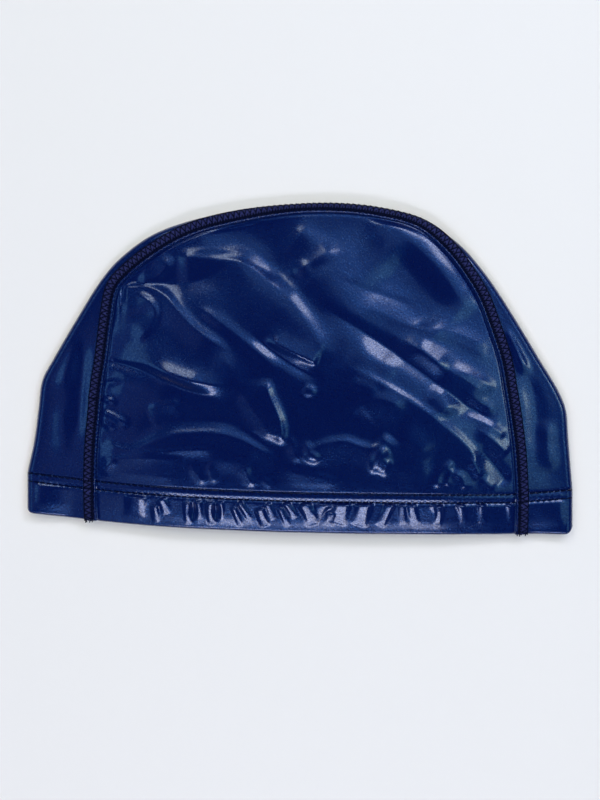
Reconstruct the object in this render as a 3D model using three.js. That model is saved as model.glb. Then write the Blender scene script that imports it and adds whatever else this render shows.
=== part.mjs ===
import * as THREE from "three";

// Swim cap sewn from coated knit cloth, lying flat on its side. Millimetres, Z up.
// The mouth faces -Y and the crown +Y. The origin is under the middle, on the surface that the cap lies on.

// Outline of the cap as it lies
const capWidth = 230;
const capHeight = 140;
const mouthLift = 9.2; // how far the mouth's edge climbs at its -X end
const mouthLiftPower = 3.5;

// Cloth, hem and folded edge
const clothWall = 1;
const hemWall = 2.2;
const hemDepth = 17;
const foldInside = 0.6; // inside radius of the hem where it folds at the cap's edge
const foldRadius = hemWall + foldInside;

// How high the upper side stands over the folded edge
const crownLoft = 8;
const mouthLoft = 4.6;
const loftReach = 42; // distance from the edge where the full height is reached
const loftRise = 70; // distance above the mouth where the crown's height takes over

// Seams and the small gaps between the sewn pieces
const gap = 0.3;
const seamWidth = 5;
const seamThickness = 0.9;
const seamBed = 5; // distance from the lower seam within which the cloth over it stays level
const seamShoulder = 11; // and the distance beyond in which it slopes down to rest

// Folds in the cloth
const foldHeight = 2.4;
const foldWidth = 5;
const foldFree = 8; // distance from a seam where a fold reaches its full height

// Mesh fineness
const acrossCells = 36;
const upCells = 18;
const farAcrossCells = 24;
const farUpCells = 14;
const stripCells = 5;
const roundCells = 4;

// Sections of the cap from the -X end of the mouth, over the crown, to its +X end.
// Each place is [across, up]: across as a share of half the width from the middle,
// up as a share of the height between the hem and the crown.
// fold is the cap's folded edge, near the seam on top and far the seam underneath.
const sections = [
  { fold: [-1, 0], near: [-0.765, 0], far: [-0.765, 0] },
  { fold: [-0.975, 0.12], near: [-0.76, 0.12], far: [-0.76, 0.1] },
  { fold: [-0.96, 0.235], near: [-0.75, 0.235], far: [-0.745, 0.19] },
  { fold: [-0.945, 0.345], near: [-0.74, 0.345], far: [-0.73, 0.26] },
  { fold: [-0.905, 0.425], near: [-0.725, 0.44], far: [-0.71, 0.325] },
  { fold: [-0.82, 0.575], near: [-0.71, 0.565], far: [-0.67, 0.4] },
  { fold: [-0.73, 0.72], near: [-0.685, 0.695], far: [-0.6, 0.475] },
  { fold: [-0.665, 0.795], near: [-0.64, 0.75], far: [-0.55, 0.53] },
  { fold: [-0.55, 0.88], near: [-0.53, 0.835], far: [-0.45, 0.595] },
  { fold: [-0.42, 0.93], near: [-0.405, 0.9], far: [-0.34, 0.645] },
  { fold: [-0.25, 0.965], near: [-0.24, 0.945], far: [-0.19, 0.68] },
  { fold: [-0.045, 0.985], near: [-0.045, 0.975], far: [-0.035, 0.695] },
  { fold: [0.13, 0.99], near: [0.13, 0.98], far: [0.13, 0.7] },
  { fold: [0.295, 0.975], near: [0.285, 0.965], far: [0.27, 0.68] },
  { fold: [0.455, 0.935], near: [0.44, 0.925], far: [0.395, 0.635] },
  { fold: [0.585, 0.855], near: [0.55, 0.84], far: [0.505, 0.56] },
  { fold: [0.675, 0.76], near: [0.63, 0.74], far: [0.585, 0.485] },
  { fold: [0.735, 0.68], near: [0.67, 0.675], far: [0.63, 0.43] },
  { fold: [0.805, 0.575], near: [0.71, 0.575], far: [0.675, 0.375] },
  { fold: [0.88, 0.455], near: [0.75, 0.46], far: [0.715, 0.31] },
  { fold: [0.945, 0.35], near: [0.77, 0.35], far: [0.74, 0.24] },
  { fold: [0.975, 0.28], near: [0.785, 0.26], far: [0.76, 0.185] },
  { fold: [0.985, 0.17], near: [0.8, 0.145], far: [0.785, 0.11] },
  { fold: [1, 0], near: [0.81, 0], far: [0.8, 0] },
];
const leftCorner = 6.5; // section where a side panel's upright edge turns into its crown edge
const rightCorner = 16;

// Main folds of the upper side, each bending from one place past another to a third.
// rise is a share of the fold height, below zero for a valley, and spread of the fold width.
const nearFolds = [
  { name: "crown roll", from: [-0.47, 0.8], via: [-0.05, 0.87], to: [0.1, 0.44], rise: 1, spread: 1 },
  { name: "shoulder ridge", from: [-0.65, 0.7], via: [-0.44, 0.71], to: [-0.23, 0.48], rise: 0.8, spread: 0.8 },
  { name: "twin ridge", from: [-0.4, 0.65], via: [-0.25, 0.56], to: [-0.08, 0.4], rise: 0.8, spread: 0.8 },
  { name: "flat crest", from: [-0.12, 0.53], via: [-0.01, 0.48], to: [0.08, 0.43], rise: 0.5, spread: 1 },
  { name: "back roll", from: [0.23, 0.92], via: [0.48, 0.88], to: [0.62, 0.6], rise: 0.9, spread: 1.3 },
  { name: "upper crease", from: [0.25, 0.63], via: [0.46, 0.58], to: [0.7, 0.46], rise: 0.7, spread: 0.8 },
  { name: "long valley", from: [0.08, 0.65], via: [0.37, 0.47], to: [0.73, 0.27], rise: -0.9, spread: 0.8 },
  { name: "long ridge", from: [0.11, 0.44], via: [0.46, 0.33], to: [0.65, 0.09], rise: 1, spread: 1 },
  { name: "front valley", from: [-0.7, 0.44], via: [-0.51, 0.39], to: [-0.3, 0.33], rise: -0.8, spread: 0.7 },
  { name: "front shelf", from: [-0.65, 0.49], via: [-0.46, 0.45], to: [-0.26, 0.38], rise: 0.9, spread: 1.1 },
  { name: "arched roll", from: [-0.72, 0.16], via: [-0.4, 0.31], to: [-0.07, 0.12], rise: 1.2, spread: 1.3 },
  { name: "low valley", from: [-0.72, 0.07], via: [-0.55, 0.12], to: [-0.34, 0.13], rise: -0.8, spread: 0.9 },
  { name: "upright ridge", from: [-0.11, 0.37], via: [-0.08, 0.28], to: [-0.08, 0.15], rise: 0.7, spread: 0.8 },
  { name: "low ridge", from: [-0.01, 0.2], via: [0.15, 0.12], to: [0.32, 0.2], rise: 0.8, spread: 1 },
  { name: "shoulder bump", from: [-0.65, 0.61], via: [-0.62, 0.6], to: [-0.59, 0.58], rise: 0.8, spread: 1.6 },
];

// Folds of the underside, which lift the cloth off the surface that it lies on.
const farFolds = [
  { name: "front lift", from: [-0.6, 0.3], via: [-0.4, 0.24], to: [-0.22, 0.3], rise: 0.7, spread: 1.2 },
  { name: "crown lift", from: [-0.2, 0.56], via: [0.05, 0.6], to: [0.3, 0.52], rise: 0.6, spread: 1.2 },
  { name: "nape lift", from: [0.3, 0.32], via: [0.45, 0.25], to: [0.6, 0.16], rise: 0.7, spread: 1.2 },
];

// Smooth step from 0 to 1 between two edges
function ease(low, high, value) {
  const share = THREE.MathUtils.clamp((value - low) / (high - low), 0, 1);
  return share * share * (3 - 2 * share);
}

// Y of the mouth's edge at an X
function mouthY(x) {
  const fromRight = THREE.MathUtils.clamp(0.5 - x / capWidth, 0, 1);
  return mouthLift * fromRight ** mouthLiftPower;
}

// Plan place of a table entry, counted from the top of the hem
function place([across, up]) {
  const x = (across * capWidth) / 2;
  const hemTop = mouthY(x) + hemDepth + gap / 2;
  return new THREE.Vector3(x, hemTop + up * (capHeight - hemTop), 0);
}

function sectionCurve(column) {
  const points = sections.map((section) => place(section[column]));
  return new THREE.CatmullRomCurve3(points, false, "centripetal");
}

const curves = {
  fold: sectionCurve("fold"),
  near: sectionCurve("near"),
  far: sectionCurve("far"),
};

// Section numbers of the stations along the seams, so that sewn pieces share them
function stationSteps(from, to, count) {
  return Array.from({ length: count }, (unused, i) => from + ((to - from) * i) / count);
}
const lastSection = sections.length - 1;
const stations = [
  ...stationSteps(0, leftCorner, upCells),
  ...stationSteps(leftCorner, rightCorner, acrossCells),
  ...stationSteps(rightCorner, lastSection, upCells),
  lastSection,
];

function curvePoint(column, station) {
  return curves[column].getPoint(station / lastSection);
}

// A seam's or the edge's whole course, down over the hem to the mouth at both ends
function wholePath(column) {
  const middle = stations.map((station) => curvePoint(column, station));
  const end = (point) => new THREE.Vector3(point.x, mouthY(point.x), 0);
  return [end(middle[0]), ...middle, end(middle[middle.length - 1])];
}

const nearPath = wholePath("near");
const farPath = wholePath("far");

// The edge runs on straight past the open mouth, which has no edge of its own
const foldPath = wholePath("fold");
const pastMouth = new THREE.Vector3(0, -capHeight, 0);
const edgePath = [
  foldPath[0].clone().add(pastMouth),
  ...foldPath,
  foldPath[foldPath.length - 1].clone().add(pastMouth),
];

// Nearest place on a path: its distance, its foot and the share along the path
function nearest(path, x, y) {
  let best = { distance: Infinity };
  for (let i = 0; i < path.length - 1; i += 1) {
    const a = path[i];
    const b = path[i + 1];
    const dx = b.x - a.x;
    const dy = b.y - a.y;
    const length = dx * dx + dy * dy || 1;
    const share = THREE.MathUtils.clamp(((x - a.x) * dx + (y - a.y) * dy) / length, 0, 1);
    const footX = a.x + share * dx;
    const footY = a.y + share * dy;
    const distance = Math.hypot(x - footX, y - footY);
    if (distance < best.distance) {
      best = { distance, footX, footY, dx, dy, along: (i + share) / (path.length - 1) };
    }
  }
  return best;
}

// Depth of a place inside the folded edge, below zero outside, and the way inwards
function edgeAt(x, y) {
  const foot = nearest(edgePath, x, y);
  const run = Math.hypot(foot.dx, foot.dy);
  const right = { x: foot.dy / run, y: -foot.dx / run };
  const side = (x - foot.footX) * right.x + (y - foot.footY) * right.y;
  const sign = side < 0 ? -1 : 1;
  const close = foot.distance < 1e-4;
  const inX = close ? right.x : (sign * (x - foot.footX)) / foot.distance;
  const inY = close ? right.y : (sign * (y - foot.footY)) / foot.distance;
  return { depth: sign * foot.distance, footX: foot.footX, footY: foot.footY, inX, inY };
}

// A smooth distance to the edge, without creases where two parts of the edge are equally near
function evenDistance(x, y) {
  let pull = 0;
  for (let i = 0; i < edgePath.length - 1; i += 1) {
    const a = edgePath[i];
    const b = edgePath[i + 1];
    const pieces = Math.ceil(a.distanceTo(b) / foldRadius);
    const step = a.distanceTo(b) / pieces;
    for (let j = 0; j < pieces; j += 1) {
      const share = (j + 0.5) / pieces;
      const dx = x - a.x - share * (b.x - a.x);
      const dy = y - a.y - share * (b.y - a.y);
      pull += step / (dx * dx + dy * dy);
    }
  }
  return Math.PI / pull;
}

function withPath(fold) {
  const curve = new THREE.QuadraticBezierCurve3(place(fold.from), place(fold.via), place(fold.to));
  return { ...fold, path: curve.getPoints(12) };
}
const nearFoldPaths = nearFolds.map(withPath);
const farFoldPaths = farFolds.map(withPath);

// Height that the folds of a side add at a place, fading towards the hem and the seams
function foldsAt(folds, seamPath, x, y) {
  let height = 0;
  for (const fold of folds) {
    const foot = nearest(fold.path, x, y);
    const across = foot.distance / (fold.spread * foldWidth);
    const taper = 0.4 + 0.6 * Math.sin(Math.PI * foot.along);
    height += fold.rise * foldHeight * taper * Math.exp(-across * across);
  }
  const fromHem = y - mouthY(x) - hemDepth;
  const fromSeam = nearest(seamPath, x, y).distance - seamWidth / 2;
  return height * ease(0, foldFree, fromHem) * ease(0, foldFree, fromSeam);
}

// Outer face of the upper side, above the round of the edge
function nearHeight(x, y) {
  const loft = THREE.MathUtils.lerp(mouthLoft, crownLoft, ease(0, loftRise, y - mouthY(x)));
  const swell = ease(foldRadius, loftReach, evenDistance(x, y));
  return 2 * foldRadius + loft * swell + foldsAt(nearFoldPaths, nearPath, x, y);
}

// Outer face of the underside: flat, but clear of the seam under it and lifted by a few folds
function farHeight(x, y) {
  const fromSeam = nearest(farPath, x, y).distance;
  const lift = (gap + seamThickness) * (1 - ease(seamBed, seamBed + seamShoulder, fromSeam));
  return lift + foldsAt(farFoldPaths, farPath, x, y);
}

// Point on the outer face of a side, moved out of the cloth by `outset`, or into it below zero
function skin(side, x, y, outset) {
  const edge = edgeAt(x, y);
  const turn = side === "near" ? 1 : -1;
  if (edge.depth < foldRadius) {
    const outwards = (foldRadius - Math.max(edge.depth, 0)) / foldRadius;
    const upwards = turn * Math.sqrt(1 - outwards * outwards);
    return new THREE.Vector3(
      x - edge.inX * outwards * outset,
      y - edge.inY * outwards * outset,
      foldRadius + upwards * (foldRadius + outset),
    );
  }
  const height = side === "near" ? nearHeight : farHeight;
  const step = 0.2;
  const slopeX = (height(x + step, y) - height(x - step, y)) / (2 * step);
  const slopeY = (height(x, y + step) - height(x, y - step)) / (2 * step);
  const normal = new THREE.Vector3(-slopeX, -slopeY, 1).normalize().multiplyScalar(turn * outset);
  return new THREE.Vector3(x, y, height(x, y)).add(normal);
}

// Walk `reach` over the cap's face from a place, across the folded edge where the way leads there
function walk(side, x, y, wayX, wayY, reach) {
  const quarter = (foldRadius * Math.PI) / 2;
  const start = edgeAt(x, y);
  const round = Math.min(Math.max(start.depth, 0), foldRadius);
  const extra = foldRadius * Math.acos(1 - round / foldRadius) - round;
  const flatX = x + start.inX * extra + wayX * reach;
  const flatY = y + start.inY * extra + wayY * reach;
  const end = edgeAt(flatX, flatY);
  const length = Math.abs(end.depth);
  const turned = foldRadius * (1 - Math.cos(length / foldRadius));
  const depth = length < quarter ? turned : length - quarter + foldRadius;
  const other = side === "near" ? "far" : "near";
  return {
    side: end.depth < 0 ? other : side,
    x: end.footX + end.inX * depth,
    y: end.footY + end.inY * depth,
  };
}

// Closed solid between two grids of points, outer and inner, or a ring where loop is true
function shell(outer, inner, loop) {
  const rowCount = outer.length;
  const pointCount = outer[0].length;
  const total = rowCount * pointCount;
  const outside = (row, point) => (row % rowCount) * pointCount + point;
  const inside = (row, point) => total + outside(row, point);
  const index = [];
  const quad = (a, b, c, d) => index.push(a, b, c, a, c, d);
  const rowSteps = loop ? rowCount : rowCount - 1;
  const last = pointCount - 1;
  for (let r = 0; r < rowSteps; r += 1) {
    for (let p = 0; p < last; p += 1) {
      quad(outside(r, p), outside(r + 1, p), outside(r + 1, p + 1), outside(r, p + 1));
      quad(inside(r, p), inside(r, p + 1), inside(r + 1, p + 1), inside(r + 1, p));
    }
    quad(outside(r, 0), inside(r, 0), inside(r + 1, 0), outside(r + 1, 0));
    quad(outside(r, last), outside(r + 1, last), inside(r + 1, last), inside(r, last));
  }
  for (let p = 0; p < last && !loop; p += 1) {
    const end = rowCount - 1;
    quad(outside(0, p), outside(0, p + 1), inside(0, p + 1), inside(0, p));
    quad(outside(end, p), inside(end, p), inside(end, p + 1), outside(end, p + 1));
  }
  const corners = [...outer.flat(), ...inner.flat()].flatMap((point) => [point.x, point.y, point.z]);
  const geometry = new THREE.BufferGeometry();
  geometry.setAttribute("position", new THREE.Float32BufferAttribute(corners, 3));
  geometry.setIndex(index);
  geometry.computeVertexNormals();
  return geometry;
}

// Cloth solid from a grid of places on the cap, `wall` thick under its outer face
function clothShell(places, wall, loop) {
  const outer = places.map((row) => row.map((spot) => skin(spot.side, spot.x, spot.y, 0)));
  const inner = places.map((row) => row.map((spot) => skin(spot.side, spot.x, spot.y, -wall)));
  return shell(outer, inner, loop);
}

// Place beside a seam, `shift` towards the side panel
function besideSeam(column, station, shift) {
  const point = curvePoint(column, station);
  const tangent = curves[column].getTangent(station / lastSection);
  return { x: point.x + tangent.y * shift, y: point.y - tangent.x * shift };
}

function mix(a, b, share) {
  return { x: a.x + (b.x - a.x) * share, y: a.y + (b.y - a.y) * share };
}

// A side panel: a grid stretched between its two upright seam edges, its crown edge and the hem
function sidePanel(side, across, up) {
  const shift = gap / 2;
  const left = (v) => besideSeam(side, leftCorner * v, shift);
  const right = (v) => besideSeam(side, lastSection - (lastSection - rightCorner) * v, shift);
  const crown = (u) => besideSeam(side, leftCorner + (rightCorner - leftCorner) * u, shift);
  const foot = (u) => {
    const { x } = mix(left(0), right(0), u);
    return { x, y: mouthY(x) + hemDepth + gap / 2 };
  };
  const spot = (u, v) => {
    const level = mix(left(v), right(v), u);
    const rise = mix(foot(u), crown(u), v);
    const corner = mix(mix(left(0), right(0), u), mix(left(1), right(1), u), v);
    return { side, x: level.x + rise.x - corner.x, y: level.y + rise.y - corner.y };
  };
  const places = [];
  for (let i = 0; i <= across; i += 1) {
    const u = side === "near" ? i / across : 1 - i / across;
    places.push(Array.from({ length: up + 1 }, (unused, j) => spot(u, j / up)));
  }
  return clothShell(places, clothWall, false);
}

// The strip: from the near seam over the folded edge to the far seam, closer set near the edge
function centreStrip() {
  const places = stations.map((station) => {
    const fold = curvePoint("fold", station);
    const nearSeam = besideSeam("near", station, -gap / 2);
    const farSeam = besideSeam("far", station, -gap / 2);
    const width = Math.hypot(farSeam.x - fold.x, farSeam.y - fold.y);
    const slopeFoot = width - seamBed - seamShoulder;
    const depths = [
      0,
      0.3 * foldRadius,
      foldRadius,
      (foldRadius + slopeFoot) / 2,
      slopeFoot,
      slopeFoot + seamShoulder / 2,
      width - seamBed,
      width,
    ];
    const row = [];
    for (let i = stripCells; i > 0; i -= 1) {
      row.push({ side: "near", ...mix(fold, nearSeam, (i / stripCells) ** 1.8) });
    }
    for (const depth of depths) {
      row.push({ side: "far", ...mix(fold, farSeam, depth / width) });
    }
    return row;
  });
  return clothShell(places, clothWall, false);
}

// The hem: a ring around the mouth, over the upper side and back along the underside
function hemBand() {
  const ends = [curvePoint("fold", 0).x, curvePoint("fold", lastSection).x];
  const inward = Array.from({ length: roundCells }, (unused, i) => {
    return foldRadius * (1 - Math.cos((Math.PI * i) / (2 * roundCells)));
  });
  const straight = (ends[1] - ends[0] - 2 * foldRadius) / acrossCells;
  const middle = Array.from({ length: acrossCells + 1 }, (unused, i) => ends[0] + foldRadius + straight * i);
  const nearRow = [...inward.map((depth) => ends[0] + depth), ...middle];
  const farRow = [...inward.map((depth) => ends[1] - depth), ...middle.reverse()];
  const column = (side, x) => {
    const low = { side, x, y: mouthY(x) };
    const high = { side, x, y: mouthY(x) + hemDepth - gap / 2 };
    return [low, { side, ...mix(low, high, 0.5) }, high];
  };
  const places = [
    ...nearRow.map((x) => column("near", x)),
    ...farRow.map((x) => column("far", x)),
  ];
  return clothShell(places, hemWall, true);
}

// A raised seam: a ribbon that lies on the cloth along the joint, down over the hem to the mouth
function seamRibbon(side, path, cells) {
  const outer = [];
  const inner = [];
  path.forEach((point, i) => {
    const before = path[Math.max(i - 1, 0)];
    const after = path[Math.min(i + 1, path.length - 1)];
    const run = Math.hypot(after.x - before.x, after.y - before.y);
    const way = { x: (after.y - before.y) / run, y: (before.x - after.x) / run };
    const turn = side === "near" ? 1 : -1;
    const spots = Array.from({ length: cells + 1 }, (unused, j) => {
      const reach = turn * seamWidth * (0.5 - j / cells);
      return walk(side, point.x, point.y, way.x, way.y, reach);
    });
    outer.push(spots.map((spot) => skin(spot.side, spot.x, spot.y, gap + seamThickness)));
    inner.push(spots.map((spot) => skin(spot.side, spot.x, spot.y, gap)));
  });
  return shell(outer, inner, false);
}

const coatedCloth = new THREE.MeshStandardMaterial({
  color: 0x0b2058,
  roughness: 0.25,
  metalness: 0,
});
const darkThread = new THREE.MeshStandardMaterial({
  color: 0x070d2c,
  roughness: 0.7,
  metalness: 0,
});

// The pieces are laid out from the mouth's edge upwards, and stand half a cap lower in the whole
const cap = new THREE.Group();
const sewn = new THREE.Group();
sewn.position.y = -capHeight / 2;
cap.add(sewn);

function addPiece(name, geometry, material) {
  const mesh = new THREE.Mesh(geometry, material);
  mesh.name = name;
  sewn.add(mesh);
}

addPiece("near_side_panel", sidePanel("near", acrossCells, upCells), coatedCloth);
addPiece("far_side_panel", sidePanel("far", farAcrossCells, farUpCells), coatedCloth);
addPiece("centre_strip", centreStrip(), coatedCloth);
addPiece("hem_band", hemBand(), coatedCloth);
addPiece("near_seam", seamRibbon("near", nearPath, 4), darkThread);
addPiece("far_seam", seamRibbon("far", farPath, 2), darkThread);

export default cap;
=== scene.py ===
import math

import bpy
import numpy as np
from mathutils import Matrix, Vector


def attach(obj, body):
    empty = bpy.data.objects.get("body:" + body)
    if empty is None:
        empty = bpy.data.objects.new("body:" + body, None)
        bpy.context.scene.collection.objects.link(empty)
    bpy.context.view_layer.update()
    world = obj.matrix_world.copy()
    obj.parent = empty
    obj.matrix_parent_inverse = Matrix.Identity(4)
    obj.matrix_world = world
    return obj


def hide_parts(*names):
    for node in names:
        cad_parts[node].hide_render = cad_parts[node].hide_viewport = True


# Swim cap sewn from coated knit cloth, lying flat on its side.
# Shapes are worked out in millimetres with the mouth's edge at y 0, and turned into metres at the end.

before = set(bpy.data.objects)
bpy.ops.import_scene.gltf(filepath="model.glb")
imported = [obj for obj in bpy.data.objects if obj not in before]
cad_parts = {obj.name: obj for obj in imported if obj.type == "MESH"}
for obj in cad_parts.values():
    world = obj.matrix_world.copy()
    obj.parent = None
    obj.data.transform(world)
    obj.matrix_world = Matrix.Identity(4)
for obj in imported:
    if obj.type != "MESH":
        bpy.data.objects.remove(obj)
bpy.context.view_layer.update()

cap = dict(
    width=230, height=140,
    mouthLift=9.2, mouthLiftPower=3.5,  # the mouth's edge climbs at its left end
    hemClimb=2.0, hemClimbFrom=0.74,  # the hem widens towards its right end
    cornerRight=3.6, cornerLeft=1.6,  # round corners of the mouth
    clothWall=1.0, hemWall=2.2, hemDepth=17,
    innerRatio=3,  # the inside has one point for this many of the outside
    roundRadius=2.8,  # outer radius of the folded edge
    crownLoft=6.4, mouthLoft=4.2, loftReach=58, loftRise=70,
    mouthDrop=2.6, dropReach=21,  # the upper side sinks towards the mouth
    seamLift=1.2, seamBed=5, seamShoulder=11,
)

# Rows from the left end of the mouth, over the crown, to its right end: [across, up] of the folded edge,
# of the seam on top and of the seam underneath, as shares of half the width and of the height above the hem
sections = [
    ([-1, 0], [-0.765, 0], [-0.765, 0]),
    ([-0.975, 0.12], [-0.76, 0.12], [-0.76, 0.1]),
    ([-0.96, 0.235], [-0.75, 0.235], [-0.745, 0.19]),
    ([-0.945, 0.345], [-0.74, 0.345], [-0.73, 0.26]),
    ([-0.905, 0.425], [-0.725, 0.44], [-0.71, 0.325]),
    ([-0.82, 0.575], [-0.71, 0.565], [-0.67, 0.4]),
    ([-0.73, 0.72], [-0.685, 0.695], [-0.6, 0.475]),
    ([-0.665, 0.795], [-0.64, 0.75], [-0.55, 0.53]),
    ([-0.55, 0.88], [-0.53, 0.835], [-0.45, 0.595]),
    ([-0.42, 0.93], [-0.405, 0.9], [-0.34, 0.645]),
    ([-0.25, 0.965], [-0.24, 0.945], [-0.19, 0.68]),
    ([-0.045, 0.985], [-0.045, 0.975], [-0.035, 0.695]),
    ([0.13, 0.99], [0.13, 0.98], [0.13, 0.7]),
    ([0.295, 0.975], [0.285, 0.965], [0.27, 0.68]),
    ([0.455, 0.935], [0.44, 0.925], [0.395, 0.635]),
    ([0.585, 0.855], [0.55, 0.84], [0.505, 0.56]),
    ([0.675, 0.76], [0.63, 0.74], [0.585, 0.485]),
    ([0.735, 0.68], [0.67, 0.675], [0.63, 0.43]),
    ([0.805, 0.575], [0.71, 0.575], [0.675, 0.375]),
    ([0.88, 0.455], [0.75, 0.46], [0.715, 0.31]),
    ([0.945, 0.35], [0.77, 0.35], [0.74, 0.24]),
    ([0.975, 0.28], [0.785, 0.26], [0.76, 0.185]),
    ([0.985, 0.17], [0.8, 0.145], [0.785, 0.11]),
    ([1, 0], [0.81, 0], [0.8, 0]),
]
lastSection = len(sections) - 1
leftCorner = 6.5  # section where a side panel's upright edge turns into its crown edge
rightCorner = 16


def ease(low, high, value):
    share = np.clip((value - low) / (high - low), 0, 1)
    return share * share * (3 - 2 * share)


def mouthY(x):
    return cap["mouthLift"] * np.clip(0.5 - x / cap["width"], 0, 1) ** cap["mouthLiftPower"]


def hemTop(x):
    climb = np.clip((x / (cap["width"] / 2) - cap["hemClimbFrom"]) / (1 - cap["hemClimbFrom"]), 0, 1)
    return mouthY(x) + cap["hemDepth"] + cap["hemClimb"] * climb ** 1.4


def place(spot):
    x = spot[0] * cap["width"] / 2
    return x, hemTop(x) + spot[1] * (cap["height"] - hemTop(x))


def smoothCurve(points, steps):
    # a centripetal curve through the points, at steps counted in points
    points = np.asarray(points, float)
    ends = [2 * points[0] - points[1]], [2 * points[-1] - points[-2]]
    padded = np.vstack([ends[0], points, ends[1]])
    segment = np.clip(np.floor(steps).astype(int), 0, len(points) - 2)
    t = (steps - segment)[:, None]
    p0, p1, p2, p3 = (padded[segment + i] for i in range(4))
    d0, d1, d2 = (np.maximum(np.linalg.norm(b - a, axis=1), 1e-6)[:, None] ** 0.5
                  for a, b in ((p0, p1), (p1, p2), (p2, p3)))
    m1 = ((p1 - p0) / d0 - (p2 - p0) / (d0 + d1) + (p2 - p1) / d1) * d1
    m2 = ((p2 - p1) / d1 - (p3 - p1) / (d1 + d2) + (p3 - p2) / d2) * d1
    return p1 + m1 * t + (3 * (p2 - p1) - 2 * m1 - m2) * t ** 2 + (2 * (p1 - p2) + m1 + m2) * t ** 3


sectionPoints = [np.array([place(row[i]) for row in sections]) for i in range(3)]


def sectionCurve(column, steps):
    return smoothCurve(sectionPoints[column], np.asarray(steps, float))


def toMouth(path):
    # the path with its two ends carried straight down over the hem to the mouth's edge
    ends = [[path[i][0], mouthY(path[i][0])] for i in (0, -1)]
    return np.vstack([[ends[0]], path, [ends[1]]])


fineSteps = np.linspace(0, lastSection, lastSection * 7 + 1)
foldPath, nearPath, farPath = (toMouth(sectionCurve(i, fineSteps)) for i in range(3))
edgePath = np.vstack([[foldPath[0] - [0, 150]], foldPath, [foldPath[-1] - [0, 150]]])


def nearest(path, x, y):
    # signed distance to a path, above zero on its right, with the foot, its way and the share along
    starts, runs = path[:-1], np.diff(path, axis=0)
    lengths = np.linalg.norm(runs, axis=1)
    before = np.concatenate([[0], np.cumsum(lengths)])
    out = [np.empty(x.size) for i in range(6)]
    px, py = x.ravel(), y.ravel()
    for first in range(0, x.size, 20000):
        part = slice(first, first + 20000)
        relX = px[part, None] - starts[None, :, 0]
        relY = py[part, None] - starts[None, :, 1]
        share = np.clip((relX * runs[:, 0] + relY * runs[:, 1]) / lengths ** 2, 0, 1)
        offX, offY = relX - share * runs[:, 0], relY - share * runs[:, 1]
        best = np.argmin(offX ** 2 + offY ** 2, axis=1)
        rows = np.arange(len(best))
        offX, offY, share = offX[rows, best], offY[rows, best], share[rows, best]
        wayX, wayY = runs[best, 0] / lengths[best], runs[best, 1] / lengths[best]
        side = np.where(offX * wayY - offY * wayX < 0, -1, 1)
        values = (side * np.hypot(offX, offY), px[part] - offX, py[part] - offY, wayX, wayY,
                  (before[best] + share * lengths[best]) / before[-1])
        for target, value in zip(out, values):
            target[part] = value
    return [value.reshape(x.shape) for value in out]


def evenDistance(x, y):
    # a smooth distance to the folded edge, without creases where two parts of it are equally near
    lengths = np.linalg.norm(np.diff(edgePath, axis=0), axis=1)
    samples, weights = [], []
    for a, b, length in zip(edgePath[:-1], edgePath[1:], lengths):
        count = max(1, math.ceil(length / 2.8))
        samples += [a + (b - a) * (i + 0.5) / count for i in range(count)]
        weights += [length / count] * count
    samples, weights = np.array(samples), np.array(weights)
    px, py, pull = x.ravel(), y.ravel(), np.empty(x.size)
    for first in range(0, x.size, 20000):
        part = slice(first, first + 20000)
        gaps = (px[part, None] - samples[:, 0]) ** 2 + (py[part, None] - samples[:, 1]) ** 2
        pull[part] = (weights / np.maximum(gaps, 1e-6)).sum(1)
    return (math.pi / pull).reshape(x.shape)


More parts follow.
